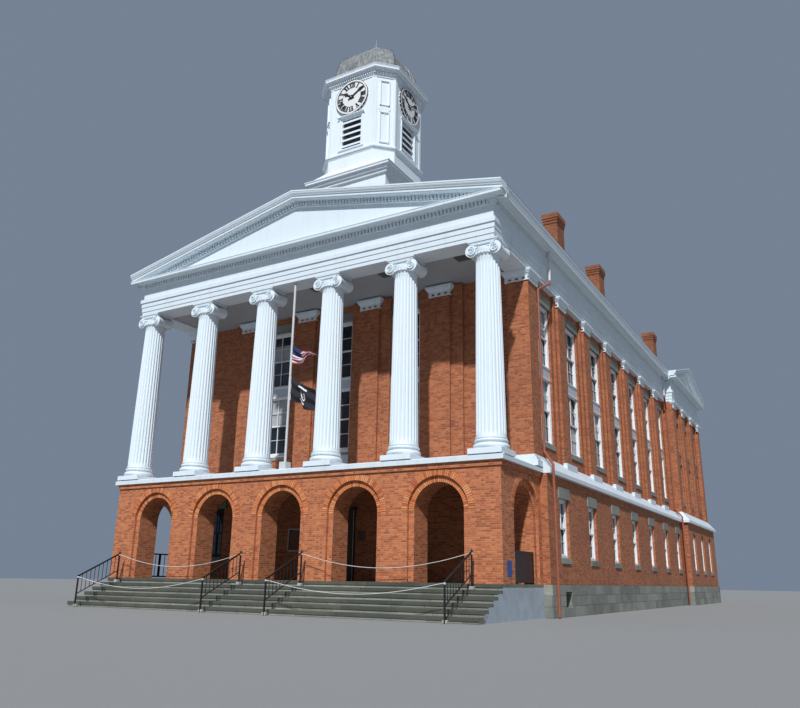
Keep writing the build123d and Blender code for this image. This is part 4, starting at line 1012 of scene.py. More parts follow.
def sashPair(width, foot, head, roundTop=False):
    # two sashes, the upper one in front; drawn at x = 0 for a wall face at y = 0, facing -Y
    w = window
    half, spring = width / 2 - w["frameBar"], head - width / 2
    low, high = foot + w["frameBar"], head - w["frameBar"]
    middle = foot + (spring - foot) * 0.55 if roundTop else (foot + head) / 2
    parts = []
    for a, b, y in ((middle - 0.03, high, w["setBack"] + 0.022),
                    (low, middle + 0.03, w["setBack"] + 0.064)):
        far = y + w["sashDepth"]
        curved = roundTop and b == high
        top = spring if curved else b
        z = (a + top) / 2
        parts += [box((side * half, side * (half - w["stile"])), (y, far), (a, top))
                  for side in sides]
        parts.append(box((-half, half), (y, far), (a, a + w["railHigh"])))
        if not curved:
            parts.append(box((-half, half), (y, far), (b - w["railHigh"], b)))
        parts.append(box((-w["bar"] / 2, w["bar"] / 2), (y + 0.004, far), (a, b - 0.01)))
        parts.append(box((-half, half), (y + 0.012, far),
                         (z - w["thinBar"] / 2, z + w["thinBar"] / 2)))
    return joinAll("sashPair", parts)


def tallWindow(kind):
    # casing is the side boards' width and how far they stand out from the frame
    w = window
    width, (board, proud) = w["tallWidth"][kind], w["casing"][kind]
    (a, b), foot, head = w["split"], w["tallFoot"], w["tallHead"]
    half, front = width / 2 - 0.006, w["setBack"]
    back = front + 0.01
    parts = [sashPair(width, foot, a + 0.045), sashPair(width, b - 0.045, head)]
    for out, low, high in ((0.045, b - 0.01, b + 0.045), (0.025, b - 0.045, b - 0.01),
                           (0.035, a - 0.045, a + 0.005), (0.018, a + 0.005, a + 0.035),
                           (0.020, head - 0.045, head - 0.005)):
        parts.append(box((-half, half), (front - out, back), (low, high), 0.006))
    for side in sides:
        parts.append(box((side * half, side * (half - board)), (front - proud, back),
                         (foot, head - 0.01)))
    if proud > 0.05:
        parts.append(box((-half, half), (front - proud, back), (head - board, head - 0.005)))
    return joinAll("tallWindow", parts)


def windowRows():
    w = window
    recess = h["panelRecess"]
    rows = {"front": [("front", x, w["upperFace"]) for x in frontBays[1:-1]],
            "porch": [("front", side * 2 * archRings["archPitch"], w["porchFace"])
                      for side in sides],
            "side": [], "ground": [], "arched": [], "small": []}
    for wall in ("right", "left"):
        rows["side"] += [(wall, y, h["bodyHalf"] - recess) for y in sideBays]
        rows["ground"] += [(wall, y, w["groundFace"]) for y in sideBays]
        rows["arched"] += [(wall, y, w["pavilionGroundFace"]) for y in pavilionBays]
        rows["small"] += [(wall, y, pavilionHalf - recess) for y in pavilionBays]
    rows["arched"] += [("rear", x, w["rearGroundFace"]) for x in frontBays]
    rows["small"] += [("rear", x, h["rearFace"] - recess) for x in frontBays]
    return {kind: [wallPlace(*place) for place in places] for kind, places in rows.items()}


def addWindows():
    w = window
    rows = windowRows()
    (a, b), front = w["split"], w["setBack"]
    copies, plates = [], []
    for kind in ("front", "side"):
        copies += spread(tallWindow(kind), rows[kind])
    copies += spread(sashPair(w["groundWidth"], *w["ground"]), rows["ground"])
    copies += spread(sashPair(w["groundWidth"], *w["round"], True), rows["arched"])
    for heights in (w["smallLow"], w["smallHigh"]):
        copies += spread(sashPair(w["smallWidth"], *heights), rows["small"])
    finished("windowSashes", copies, "sashPaint")
    # the porch sashes are near-black as painted shade
    finished("porchSashes", spread(sashPair(w["groundWidth"], *w["ground"]), rows["porch"]),
             "darkFrame")
    for kind in ("front", "side"):
        half = w["tallWidth"][kind] / 2 - 0.03
        plates += spread(box((-half, half), (front - 0.01, front + 0.01),
                             (a + 0.035, b - 0.045)), rows[kind])
    finished("storeyPanels", plates, "panelPaint")


def addBlinds():
    # drawn blinds and curtains that show pale behind the panes
    b = blinds
    pieces = []
    for wall, bay, low, high in b["drawn"]:
        kind, face, bays = ("side", h["bodyHalf"] - h["panelRecess"], sideBays)
        if wall == "front":
            kind, face, bays = ("front", window["upperFace"], frontBays)
        half = window["tallWidth"][kind] / 2 - window["frameBar"] - 0.01
        blind = box((-half, half), (b["depth"], b["depth"] + b["thick"]), (low, high))
        pieces.append(moved(blind, wallPlace(wall, bays[bay], face)))
    finished("drawnBlinds", pieces, "drawnBlind")


addWindows()
addBlinds()
print("window sashes fitted")


# pilaster capitals: a bottom strip, a row of little blocks, a flare and a square top

pilasterCapital = {"strip": ((-0.02, 11.765), (0.055, 11.765), (0.055, 11.80), (-0.02, 11.80)),
                   "blocks": (11.795, 11.90, 0.052), "blockCount": 4, "blockShare": 0.52,
                   "profile": ((-0.02, 11.893), (0.045, 11.893), (0.048, 11.915),
                               (0.040, 11.92), (0.052, 11.96), (0.070, 11.995),
                               (0.094, 12.025), (0.104, 12.030), (0.104, 12.05),
                               (0.114, 12.055), (0.135, 12.085), (0.140, 12.115),
                               (0.155, 12.12), (0.155, 12.188), (-0.02, 12.188))}


def blockRow(width):
    # little blocks with brick showing between them, on a face at y = 0, facing -Y
    c = pilasterCapital
    low, high, out = c["blocks"]
    start = -width / 2 - out
    count, share = c["blockCount"], c["blockShare"]
    wide = (width + 2 * out) / (count + (count - 1) * (1 / share - 1))
    return arrayAlong(box((start, start + wide), (-out, 0.004), (low, high), 0.006), count,
                      (wide / share, 0, 0))


def capRing(x0, x1, y0, y1):
    # strip and flared top round a rectangle
    return [bridge([[(x0 - g, y0 - g, z), (x1 + g, y0 - g, z), (x1 + g, y1 + g, z),
                     (x0 - g, y1 + g, z)] for g, z in pilasterCapital[part]], ring=True)
            for part in ("strip", "profile")]


def pilasterTop(width):
    # a flat pilaster's capital: its back runs into the wall
    return joinAll("pilasterTop", [blockRow(width), *capRing(-width / 2, width / 2, 0.0, 0.03)])


def cornerTops():
    # the corner piers' capitals go round their two free faces
    width, x1, y0 = h["pilasterWidth"], h["bodyHalf"], h["pierFace"]
    x0, y1 = x1 - width, y0 + width
    top = joinAll("cornerTop", [*capRing(x0, x1, y0, y1),
                                moved(blockRow(width), at((x0 + x1) / 2, y0, 0)),
                                moved(blockRow(width), at(x1, (y0 + y1) / 2, 0, 90))])
    return [top, copyOf(top, mirror)]


def addPilasterCapitals():
    width = h["pilasterWidth"]
    rearCorner = pavilionHalf - width / 2
    wide = [("front", x, h["pierFace"]) for x in columnPlaces[1:-1]]
    small = [("rear", x, h["rearFace"]) for x in (-rearCorner, *columnPlaces[1:-1], rearCorner)]
    for wall in ("right", "left"):
        wide += [(wall, y, h["bodyHalf"]) for y in sidePlaces]
        small += [(wall, y, pavilionHalf) for y in pavilionPlaces]
    copies = cornerTops()
    for size, places in ((width, wide), (width - 0.2, small)):
        copies += spread(pilasterTop(size), [wallPlace(*place) for place in places])
    row = finished("pilasterCapitals", copies, "whitePaint")
    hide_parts("pilaster_capitals")


addPilasterCapitals()
print("pilaster capitals set")


# white blocks on the ledge under the piers: how far out, foot, top, how much wider

pierBlocks = {"side": ((0.20, 5.0, 5.14, 0.08), (0.13, 5.12, 5.25, 0.0)),
              "corner": ((0.20, 4.91, 5.12, 0.20), (0.13, 5.11, 5.235, 0.13),
                         (0.05, 5.23, 5.33, 0.05)), "cornerBack": 3.94}


def addPierBlocks():
    parts = []
    body, width = h["bodyHalf"], h["pilasterWidth"]
    for side in sides:
        for place in sidePlaces:
            for out, low, high, grow in pierBlocks["side"]:
                half = width / 2 + 0.2 + grow
                parts.append(box((side * body, side * (body + out)),
                                 (place - half, place + half), (low, high), 0.008))
        for out, low, high, grow in pierBlocks["corner"]:
            parts.append(box((side * (body - width - grow), side * (body + out)),
                             (h["pierFace"] - out, pierBlocks["cornerBack"] + grow),
                             (low, high), 0.008))
    finished("pierBlocks", parts, "ledgePaint")


addPierBlocks()


# tower: corner boards, panels, louvre hoods, cornice with small dentils

tower = {"middle": 5.43, "apothem": 1.92, "faceHalf": 1.21, "foot": 19.87, "top": 23.51,
         "board": 0.15, "proud": 0.022, "louvreHalf": 0.58, "louvreFoot": 20.11,
         "louvreTop": 21.75, "panelHalf": 0.185, "panelFoot": 20.10, "panelTop": 23.28,
         "panelRim": 0.045, "diamond": 0.30, "diamondAt": 21.82, "dentilPitch": 0.112,
         "dentilWidth": 0.056, "dentilFoot": 23.655, "dentilTop": 23.755, "dentilOut": 0.058,
         "dentilBack": 1.998,
         "hood": ((0.0, -0.03), (0.03, -0.03), (0.04, 0.0), (0.075, 0.012), (0.085, 0.03),
                  (0.125, 0.04), (0.13, 0.045), (0.13, 0.075), (0.0, 0.095)),
         "cornice": ((1.88, 23.512), (1.955, 23.512), (1.955, 23.575), (1.972, 23.583),
                     (1.972, 23.625), (1.998, 23.632), (1.998, 23.762), (2.062, 23.768),
                     (2.075, 23.79), (2.098, 23.815), (2.102, 23.845), (2.196, 23.848),
                     (2.205, 23.853), (2.205, 23.945), (2.216, 23.952), (2.222, 23.985),
                     (2.238, 23.999), (2.238, 24.018), (1.75, 24.018)),
         "waist": ((1.90, 19.66), (1.945, 19.66), (1.95, 19.68), (1.965, 19.70),
                   (1.988, 19.735), (1.992, 19.77), (2.025, 19.772), (2.035, 19.80),
                   (2.035, 19.855), (2.02, 19.875), (1.90, 19.88)),
         "base": ((1.90, 18.18), (1.945, 18.18), (1.95, 18.215), (1.98, 18.24),
                  (2.035, 18.275), (2.045, 18.33), (2.055, 18.40), (2.10, 18.412),
                  (2.14, 18.435), (2.155, 18.48), (2.16, 18.54), (2.245, 18.543),
                  (2.25, 18.548), (2.25, 18.622), (2.262, 18.628), (2.285, 18.665),
                  (2.285, 18.69), (2.15, 18.70), (1.90, 18.70))}
t = tower
towerFace = t["middle"] - t["apothem"]


def octagonRow(a, z):
    w = a * t["faceHalf"] / t["apothem"]
    corners = [(w, -a), (a, -w), (a, w), (w, a), (-w, a), (-a, w), (-a, -w), (-w, -a)]
    return [(x, y + t["middle"], z) for x, y in corners]


def fourSides(piece):
    turns = [at(0, t["middle"], 0, 90 * quarter) @ at(0, -t["middle"], 0)
             for quarter in range(4)]
    return spread(piece, turns)


def rimBars(half, low, high, rim, out):
    # a picture-frame moulding on a face at y = 0, facing -Y
    wide, tall = (-half - rim, half + rim), (low - rim, high + rim)
    bars = ((wide, (low - rim, low)), (wide, (high, high + rim)),
            ((-half - rim, -half), tall), ((half, half + rim), tall))
    return [box(x, (-out, 0.01), z, 0.008) for x, z in bars]


def wideFace():
    half, foot, top = t["louvreHalf"], t["louvreFoot"], t["louvreTop"]
    back = towerFace + 0.01
    rows = []
    for out, rise in t["hood"]:
        reach = half + 0.09 + out * 0.8
        rows.append([(-reach, towerFace - out, top + rise), (reach, towerFace - out, top + rise)])
    parts = [bridge(rows)]
    for side in sides:
        parts.append(box((side * t["faceHalf"], side * (t["faceHalf"] - t["board"])),
                         (towerFace - t["proud"], back), (t["foot"], t["top"]), 0.004))
        parts.append(box((side * (half + 0.085), side * half), (towerFace - 0.035, back),
                         (foot - 0.04, top), 0.006))
    parts.append(box((-half - 0.12, half + 0.12), (towerFace - 0.065, back),
                     (foot - 0.085, foot - 0.03), 0.01))
    return joinAll("wideFace", parts)


def diamond():
    # a raised square set on its corner, with a sunk middle
    half = t["diamond"] / math.sqrt(2)
    piece = box((-half, half), (-0.105, 0.01), (-half, half))
    for polygon in piece.data.polygons:
        polygon.select = polygon.normal.y < -0.9
    bpy.ops.object.mode_set(mode="EDIT")
    bpy.ops.mesh.select_mode(type="FACE")
    bpy.ops.mesh.inset(thickness=0.05)
    bpy.ops.transform.translate(value=(0, 0.085, 0))
    bpy.ops.object.mode_set(mode="OBJECT")
    return moved(piece, at(0, 0, t["diamondAt"], 45, "Y"))


def narrowFace():
    chamfer = (t["apothem"] - t["faceHalf"]) / math.sqrt(2)
    corner = (t["faceHalf"] + t["apothem"]) / math.sqrt(2)
    gap = t["diamond"] * 0.72
    parts = [diamond()]
    for low, high in ((t["panelFoot"], t["diamondAt"] - gap),
                      (t["diamondAt"] + gap, t["panelTop"])):
        parts += rimBars(t["panelHalf"], low, high, t["panelRim"], 0.060)
    parts += [box((side * chamfer, side * (chamfer - 0.12)), (-t["proud"], 0.01),
                  (t["foot"], t["top"]), 0.004) for side in sides]
    return moved(joinAll("panel", parts), at(0, t["middle"], 0, 45) @ at(0, -corner, 0))


def addTowerMouldings():
    waist = bridge([octagonRow(a, z) for a, z in t["waist"]], ring=True)
    base = bridge([[(x, y + t["middle"], z) for x, y in ((a, -a), (a, a), (-a, a), (-a, -a))]
                   for a, z in t["base"]], ring=True)
    finished("towerMouldings", [waist, base], "towerPaint")


def addTowerCornice():
    parts = [bridge([octagonRow(a, z) for a, z in t["cornice"]], ring=True)]
    reach, width = t["dentilBack"], t["dentilWidth"]
    wide = reach * t["faceHalf"] / t["apothem"]
    for half, back, turn in ((wide, reach, 0),
                             ((reach - wide) / math.sqrt(2), (reach + wide) / math.sqrt(2), 45)):
        count = int((2 * half + width) / t["dentilPitch"])
        block = box((-half - width * 0.3, -half + width * 0.7),
                    (-back - t["dentilOut"], -back + 0.01), (t["dentilFoot"], t["dentilTop"]))
        arrayAlong(block, count, ((2 * half - width * 0.4) / (count - 1), 0, 0))
        parts += fourSides(moved(block, at(0, t["middle"], 0, turn)))
    ring = finished("towerCornice", parts, "towerPaint")
    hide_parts("tower_cornice")


finished("towerTrim", fourSides(wideFace()) + fourSides(narrowFace()), "towerPaint")
addTowerCornice()
addTowerMouldings()
print("tower trimmed")


# eight-sided dome of sheet metal with hip strips, low seams and a turned spike

dome = {"profile": ((2.18, 24.020), (2.17, 24.045), (2.03, 24.085), (1.90, 24.17),
                    (1.80, 24.30), (1.735, 24.50), (1.695, 24.75), (1.65, 25.00),
                    (1.59, 25.22), (1.51, 25.42), (1.41, 25.58), (1.28, 25.72),
                    (1.08, 25.88), (0.82, 26.08), (0.56, 26.28), (0.36, 26.42),
                    (0.20, 26.50)),
        "seamWidth": 0.012, "seamOut": 0.016, "seams": (1, 4), "hipWidth": 0.13,
        "spike": ((0.0, 26.47), (0.21, 26.47), (0.20, 26.52), (0.165, 26.57), (0.13, 26.66),
                  (0.115, 26.75), (0.14, 26.775), (0.15, 26.81), (0.14, 26.845),
                  (0.095, 26.87), (0.07, 26.95), (0.05, 27.06), (0.032, 27.20),
                  (0.018, 27.33), (0.0, 27.418))}


def rib(sections):
    # a strip that follows the dome: each section gives, for one ring of corners, its point
    rows = []
    for out, pointOf in sections:
        rows.append([tuple(pointOf([Vector(corner) for corner in octagonRow(a + out, z)]))
                     for a, z in dome["profile"]])
    return bridge(rows)


def domeSeam(face, share):
    def beside(offset):
        def pointOf(ring):
            start, end = ring[face], ring[(face + 1) % 8]
            return start.lerp(end, share) + (end - start).normalized() * offset
        return pointOf

    half, out = dome["seamWidth"], dome["seamOut"]
    return rib([(-0.01, beside(-half)), (out, beside(-half)), (out, beside(half)),
                (-0.01, beside(half))])


def hipStrip(corner):
    def towards(step):
        def pointOf(ring):
            side = ring[(corner + step) % 8] - ring[corner]
            return ring[corner] + side.normalized() * min(dome["hipWidth"], side.length * 0.4)
        return pointOf

    def ridge(ring):
        return ring[corner]

    return rib([(-0.01, towards(-1)), (0.022, towards(-1)), (0.022, ridge), (0.055, ridge),
                (0.022, ridge), (0.022, towards(1)), (-0.01, towards(1))])


def addDome():
    d = dome
    parts = [bridge([octagonRow(a, z) for a, z in d["profile"]], ring=True, wrap=False)]
    for face in range(8):
        count = d["seams"][face % 2]
        parts += [domeSeam(face, (i + 1) / (count + 1)) for i in range(count)]
        parts.append(hipStrip(face))
    parts.append(lathe(d["spike"], 24, (0, t["middle"], 0)))
    top = finished("domeMetalwork", parts, "domeMetal")
    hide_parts("dome")


addDome()
print("dome covered")


# clock dials: white rim between black lines, Roman numerals and minute marks

clock = {"height": 22.75, "face": 1.99, "radius": 0.898, "ring": 0.775, "ringWidth": 0.028,
         "numeralFoot": 0.505, "numeralTop": 0.745, "stroke": 0.064, "thin": 0.032,
         "lean": 0.105, "numerals": "XII I II III IIII V VI VII VIII IX X XI"}


def numeralStrokes(text):
    # strokes as (x at the foot, x at the top, width), laid side by side
    lean, thick, thin = clock["lean"], clock["stroke"], clock["thin"]
    strokes, x = [], 0.0
    for letter in text:
        left, right = x + 0.02, x + lean + 0.02
        if letter == "I":
            strokes.append((x + 0.028, x + 0.028, thick))
            x += 0.080
            continue
        if letter == "V":
            left, right = x + lean / 2 + 0.02, x + lean / 2 + 0.02
            strokes += [(left, x + 0.02, thick), (right, x + lean + 0.02, thin)]
        else:
            strokes += [(right, left, thick), (left, right, thin)]
        x += lean + 0.060
    shift = (x - 0.024) / 2
    return [(a - shift, b - shift, size) for a, b, size in strokes]


def dialBlacks():
    c = clock
    foot, top = c["numeralFoot"], c["numeralTop"]
    black = []
    for hour, text in enumerate(c["numerals"].split()):
        turn = at(0, 0, 0, 30 * hour, "Y")
        strokes = numeralStrokes(text)
        for footX, topX, width in strokes:
            stroke = box((-width / 2, width / 2), (-0.008, 0.001), (foot, top))
            for vertex in stroke.data.vertices:
                vertex.co.x += topX if vertex.co.z > (foot + top) / 2 else footX
            black.append(moved(stroke, turn))
        for radius, end in ((foot, 0), (top, 1)):
            low = min(stroke[end] - stroke[2] / 2 for stroke in strokes) - 0.012
            high = max(stroke[end] + stroke[2] / 2 for stroke in strokes) + 0.012
            serif = box((low, high), (-0.007, 0.001), (radius - 0.009, radius + 0.009))
            black.append(moved(serif, turn))
    mark = box((-0.007, 0.007), (-0.006, 0.001), (top + 0.008, c["ring"]))
    black.append(spinCopies(mark, 60, 2 * math.pi, (0, 0, 0), (0, 1, 0)))
    return black


def turnedRing(inside, outside, low, high):
    ring = lathe([(inside, low), (inside, high), (outside, high), (outside, low)], 96)
    return moved(ring, at(0, 0, 0, 90, "X"))


def addDials():
    c = clock
    edge, rim = c["radius"], c["ring"] + c["ringWidth"]
    black = [*dialBlacks(), turnedRing(c["ring"], rim, 0.0, 0.012),
             turnedRing(edge - 0.012, edge, -0.05, 0.030)]
    white = [turnedRing(rim, edge - 0.012, 0.0, 0.026)]
    place = at(0, t["middle"] - c["face"], c["height"])
    for pieces, name, finish, slot in ((black, "dialNumerals", "handPaint", "hand_paint"),
                                       (white, "dialRims", "dialPaint", "dial")):
        finished(name, fourSides(moved(joinAll(name, pieces), place)), finish)


addDials()
print("dials marked")


# lights in the portico's soffit

soffitLight = {"places": (-6.06, -2.856, 0.35, 3.556, 6.76), "y": 1.1, "half": 0.34,
               "rim": 0.04, "top": 12.25}


def addSoffitLights():
    s = soffitLight
    frames, lenses = [], []
    for x in s["places"]:
        for pieces, half, low, high, bevel in ((frames, s["half"], 0.028, 0.004, 0.008),
                                               (lenses, s["half"] - s["rim"], 0.034, -0.02, 0)):
            pieces.append(box((x - half, x + half), (s["y"] - half, s["y"] + half),
                              (s["top"] - low, s["top"] + high), bevel))
    # the light frames take the ceiling paint, darkened as painted shade
    finished("soffitLightFrames", frames, "ceilingPaint")
    finished("soffitLightLenses", lenses, "smokedPane")


addSoffitLights()
print("soffit lights set")


# flags of thin cloth: both edges follow the wind, and the cloth left over folds to and fro

flag = {"line": 0.15, "columns": 84, "rows": 52, "thick": 0.003, "waves": 2.0, "drift": 0.8,
        "billow": 0.045, "stripes": 13, "cantonShare": 0.4, "cantonStripes": 6, "header": 0.035,
        "clip": (0.030, 0.056), "ball": (0.058, 12.112)}
flagShapes = {
    "striped": {"size": (1.30, 0.78),
                "top": ((0.048, 9.69), (0.215, 9.50), (0.45, 9.375), (0.70, 9.33), (0.93, 9.275),
                        (1.185, 9.14)),
                "foot": ((0.048, 8.91), (0.29, 8.852), (0.54, 8.84), (0.735, 8.995),
                         (0.93, 9.095), (1.17, 9.03))},
    "black": {"size": (1.38, 0.89),
              "top": ((0.048, 8.38), (0.26, 8.22), (0.50, 8.08), (0.74, 7.95), (0.985, 7.845),
                      (1.235, 7.745)),
              "foot": ((0.048, 7.49), (0.31, 7.375), (0.58, 7.32), (0.71, 7.09), (0.955, 7.01),
                       (1.235, 6.96))}}


def smoothPoint(points, share):
    # a point on the smooth line through evenly spaced points
    last = len(points) - 1
    i = min(int(share * last), last - 1)
    along = share * last - i
    a, b, c, d = (Vector(points[max(0, min(k, last))]) for k in range(i - 1, i + 3))
    return (b * 2 + (c - a) * along + (a * 2 - b * 5 + c * 4 - d) * along ** 2
            + (b * 3 - a - c * 3 + d) * along ** 3) / 2


def stripedPaint(along, up, size):
    f = flag
    stripe = int(up / size[1] * f["stripes"])
    if along < size[0] * f["cantonShare"] and stripe >= f["cantonStripes"]:
        return 2
    return stripe % 2


def blackPaint(along, up, size):
    # a plain white device: a ring open at the top, a lozenge, and a bar above and below
    x, z = along - 0.70, up - 0.44
    ring = 0.145 < math.hypot(x, z) < 0.19 and z < 0.12
    lozenge = abs(x) / 0.07 + abs(z) / 0.10 < 1
    bars = abs(x) < 0.24 and 0.24 < z < 0.31 or abs(x) < 0.15 and -0.30 < z < -0.25
    return int(along < flag["header"] or ring or lozenge or bars)


def flagCloth(name, shape, paint):
    f = flag
    size, columns, rows = shape["size"], f["columns"], f["rows"]
    points, faces, tints = [], [], []
    for i in range(columns + 1):
        share = i / columns
        top, foot = smoothPoint(shape["top"], share), smoothPoint(shape["foot"], share)
        spare = max(0.0, size[1] ** 2 - (top - foot).length ** 2)
        fold = math.sqrt(spare) / (4.3 * f["waves"])
        wind = f["billow"] * math.sin(2 * math.pi * share) * share
        for j in range(rows + 1):
            x, z = foot.lerp(top, j / rows)
            turn = 2 * math.pi * (f["waves"] * j / rows + f["drift"] * share)
            points.append((x, f["line"] + fold * math.sin(turn) + wind, z))
    for i in range(columns):
        for j in range(rows):
            k, step = i * (rows + 1) + j, rows + 1
            faces.append((k, k + step, k + step + 1, k + 1))
            tints.append(paint((i + 0.5) / columns * size[0], (j + 0.5) / rows * size[1], size))
    return meshPiece(name, points, faces), tints


def addFlags():
    f = flag
    for name, paint, colours in (("striped", stripedPaint, ("flagRed", "flagWhite", "flagBlue")),
                                 ("black", blackPaint, ("flagBlack", "flagWhite"))):
        shape = flagShapes[name]
        cloth, tints = flagCloth(name + "Flag", shape, paint)
        dress(cloth, colours[0])
        for colour in colours[1:]:
            cloth.data.materials.append(finishes[colour])
        for polygon, tint in zip(cloth.data.polygons, tints):
            polygon.material_index = tint
            polygon.use_smooth = True
        useModifier(cloth, "SOLIDIFY", thickness=f["thick"], offset=0.0)
        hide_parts("flags")
    fittings = [ball(f["ball"][0], (0, f["line"], f["ball"][1]), 24, 12)]
    for shape in flagShapes.values():
        for z in (shape["top"][0][1] - 0.02, shape["foot"][0][1] + 0.02):
            fittings.append(box(f["clip"], (f["line"] - 0.008, f["line"] + 0.008),
                                (z - 0.018, z + 0.018), 0.003))
    finished("poleFittings", fittings, "polePaint")


addFlags()
print("flags hung")


# ropes between the railings' posts; the points are those of the solids' route

stairRope = {"spans": ((-7.65, -1.35), (1.35, 7.65)), "tied": 0.0228, "lead": 0.06,
             "radius": 0.01, "upper": (-0.350, 1.910, 0.45, 6.33),
             "lower": (-2.115, 1.050, 0.36, 6.30),
             "points": ((0, 0), (0.14, 0.48), (0.32, 0.87), (0.5, 1), (0.68, 0.87),
                        (0.86, 0.48), (1, 0)),
             "knot": (0.030, 0.008, 0.0022, 0.026)}


def addRope(name, x0, x1, y, z, sag, length):
    r = stairRope
    start, end = x0 + r["tied"] + r["lead"], x1 - r["tied"] - r["lead"]
    points = [(start + (end - start) * share, y, z - sag * drop) for share, drop in r["points"]]
    route = [(x0 + r["tied"], y, z), *points, (x1 - r["tied"], y, z)]
    curve = bpy.data.curves.new(name, "CURVE")
    curve.dimensions = "3D"
    spline = curve.splines.new("NURBS")
    spline.points.add(len(route) - 1)
    for point, place in zip(spline.points, route):
        point.co = (*place, 1)
    spline.order_u = 3
    spline.use_endpoint_u = True
    spline.resolution_u = 10
    curve.bevel_depth = r["radius"]
    curve.bevel_resolution = 2
    rope = dress(link(name, curve), "ropeFibre")
    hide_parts("stair_ropes")


def addRopes():
    r = stairRope
    for side, (x0, x1) in zip(("left", "right"), r["spans"]):
        for level in ("upper", "lower"):
            addRope(side + level.capitalize() + "Rope", x0, x1, *r[level])
    radius, swell, pitch, drop = r["knot"]
    turns = [(radius + swell * abs(math.cos(math.pi * i / 8)), i * pitch) for i in range(25)]
    turns = [(0.02, 0.0), *turns, (0.02, 24 * pitch)]
    knots = [lathe(turns, 16, (x, y, z - drop)) for span in r["spans"] for x in span
             for y, z in (r["upper"][:2], r["lower"][:2])]
    finished("ropeKnots", knots, "ropeFibre")


addRopes()
print("ropes hung")


# railings: a broad handrail with pointed post heads, and footing blocks on the stair

railing = {"places": (-7.65, -1.35, 1.35, 7.65), "upper": (-0.350, 0.875, 1.95, 0.11),
           "lower": (-2.115, 0.0, 1.09, 0.035), "railHalf": 0.027, "railThick": 0.022,
           "section": ((-1, -0.004), (1, -0.004), (1, 1), (0.6, 1.35), (-0.6, 1.35), (-1, 1)),
           "overrun": 0.06, "nearest": -2.137, "footHalf": 0.075, "footHigh": 0.10}


def addRailingTrim():
    r = railing
    upperY, upperTop, lowerY, lowerTop = *r["upper"][::2], *r["lower"][::2]
    slope, half = (upperTop - lowerTop) / (upperY - lowerY), r["footHalf"]
    iron, feet = [], []
    for place in r["places"]:
        iron.append(bridge([[(place + out * r["railHalf"], y, lowerTop + (y - lowerY) * slope
                              + lift * r["railThick"])
                             for y in (r["nearest"], upperY + r["overrun"])]
                            for out, lift in r["section"]]))
        for y, foot, top, tip in (r["upper"], r["lower"]):
            spike = [(0.0, 0.0), (0.030, 0.0), (0.032, 0.02), (0.020, 0.03), (0.017, tip * 0.6),
                     (0.0, tip)]
            iron.append(lathe(spike, 8, (place, y, top + 0.015)))
            feet.append(box((place - half, place + half), (max(y - half, r["nearest"]),
                                                           y + half),
                            (foot, foot + r["footHigh"]), 0.01))
    finished("railingTrim", iron, "blackIron")
    finished("railingFeet", feet, "footing")


addRailingTrim()
print("railings trimmed")


# guards in the side arches: a closed panel at the right, an open frame at the left

guard = {"face": 8.37, "thick": 0.04, "near": 1.152, "far": 2.908, "foot": 1.052, "top": 2.06,
         "rim": 0.055, "post": (2.32, 2.44), "bars": 6}


def addGuards():
    g = guard
    near, far, foot, top, rim = g["near"], g["far"], g["foot"], g["top"], g["rim"]
    clear = foot + 0.04
    parts = []
    for side in sides:
        x = (side * g["face"], side * (g["face"] - g["thick"]))
        for y, z in (((near, far), (clear, clear + rim)), ((near, far), (top - rim, top)),
                     ((near, near + rim), (foot, top)), ((far - rim, far), (foot, top))):
            parts.append(box(x, y, z, 0.004))
    parts.append(box((g["face"] - 0.030, g["face"] - 0.012), (near, far), (clear, top - 0.01)))
    x = (-g["face"] + 0.008, -g["face"] + g["thick"] - 0.008)
    parts.append(box(x, g["post"], (clear, top - 0.01)))
    pitch = (far - near) / (g["bars"] + 1)
    bar = box(x, (near + pitch - 0.008, near + pitch + 0.008), (foot + 0.06, top - 0.02))
    parts.append(arrayAlong(bar, g["bars"], (0, pitch, 0)))
    guards = finished("archGuards", parts, "blackIron")
    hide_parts("side_arch_guards")


addGuards()
print("guards set")


# porch wall: entrance trim, door glass and knobs, notice case, plaque; sign plate outside

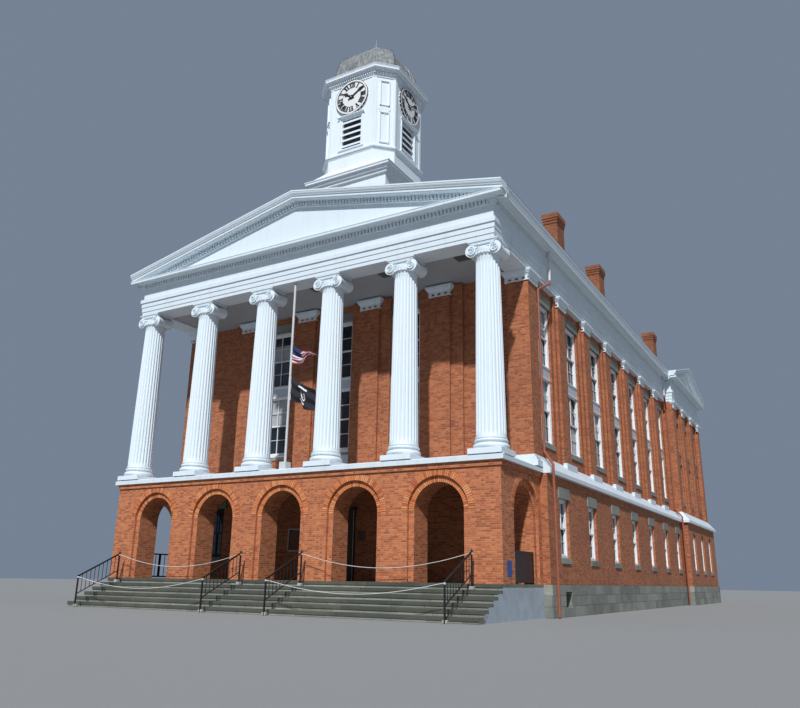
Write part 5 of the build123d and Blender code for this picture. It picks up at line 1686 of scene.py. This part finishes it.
porch = {"wall": 3.40, "doorFace": 3.47, "entranceEdge": 0.97, "entranceTop": 3.69,
         "case": (-1.835, 2.20, 3.00, 0.32), "caseRim": 0.045, "knob": (0.065, 2.08, 0.032),
         "plaque": ((1.13, 1.46), (3.375, 3.402), (2.52, 2.90)),
         "doorPane": (0.132, 0.58), "doorPaneHeights": (1.96, 3.25),
         "sign": ((8.499, 8.508), (0.32, 0.67), (1.26, 1.73))}


def addPorchPieces():
    p = porch
    wall, door = p["wall"], p["doorFace"]
    trim = [box((x - 0.010, x + 0.010), (wall - 0.100, wall - 0.072),
                (h["porch"] + 0.01, p["entranceTop"]), 0.003)
            for x in (-p["entranceEdge"], p["entranceEdge"])]
    middle, low, high, half = p["case"]
    trim += [moved(bar, at(middle, wall, 0))
             for bar in rimBars(half, low, high, p["caseRim"], 0.09)]
    finished("porchTrim", trim, "panelPaint")
    panes = [box((middle - half, middle + half), (wall - 0.05, wall - 0.035), (low, high))]
    reach, height, radius = p["knob"]
    metal = [box(*p["plaque"], 0.006)]
    for side in sides:
        x = side * reach
        panes.append(box([side * edge for edge in p["doorPane"]], (door + 0.012, door + 0.019),
                         p["doorPaneHeights"]))
        metal += [ball(radius, (x, door - 0.045, height), 16, 8),
                  box((x - 0.025, x + 0.025), (door - 0.012, door + 0.002),
                      (height - 0.13, height + 0.12), 0.003),
                  box((x - 0.009, x + 0.009), (door - 0.040, door),
                      (height - 0.009, height + 0.009))]
    finished("porchGlass", panes, "windowGlass")
    finished("porchMetal", metal, "bronze")
    finished("signPlate", [box(*p["sign"], 0.003)], "signBlue")


addPorchPieces()
print("porch fitted")


# front windows: white sills, and a pale panel under the middle one

frontTrim = {"half": 0.75, "sill": ((3.235, 3.42), (5.985, 6.05)),
             "panel": ((-0.68, 0.68), (3.275, 3.31), (5.36, 5.985))}
half = frontTrim["half"]
finished("frontSills", [box((x - half, x + half), *frontTrim["sill"], 0.006)
                        for x in frontBays[1:-1]], "sashPaint")
finished("underPanel", [box(*frontTrim["panel"], 0.008)], "panelPaint")
print("front trim set")
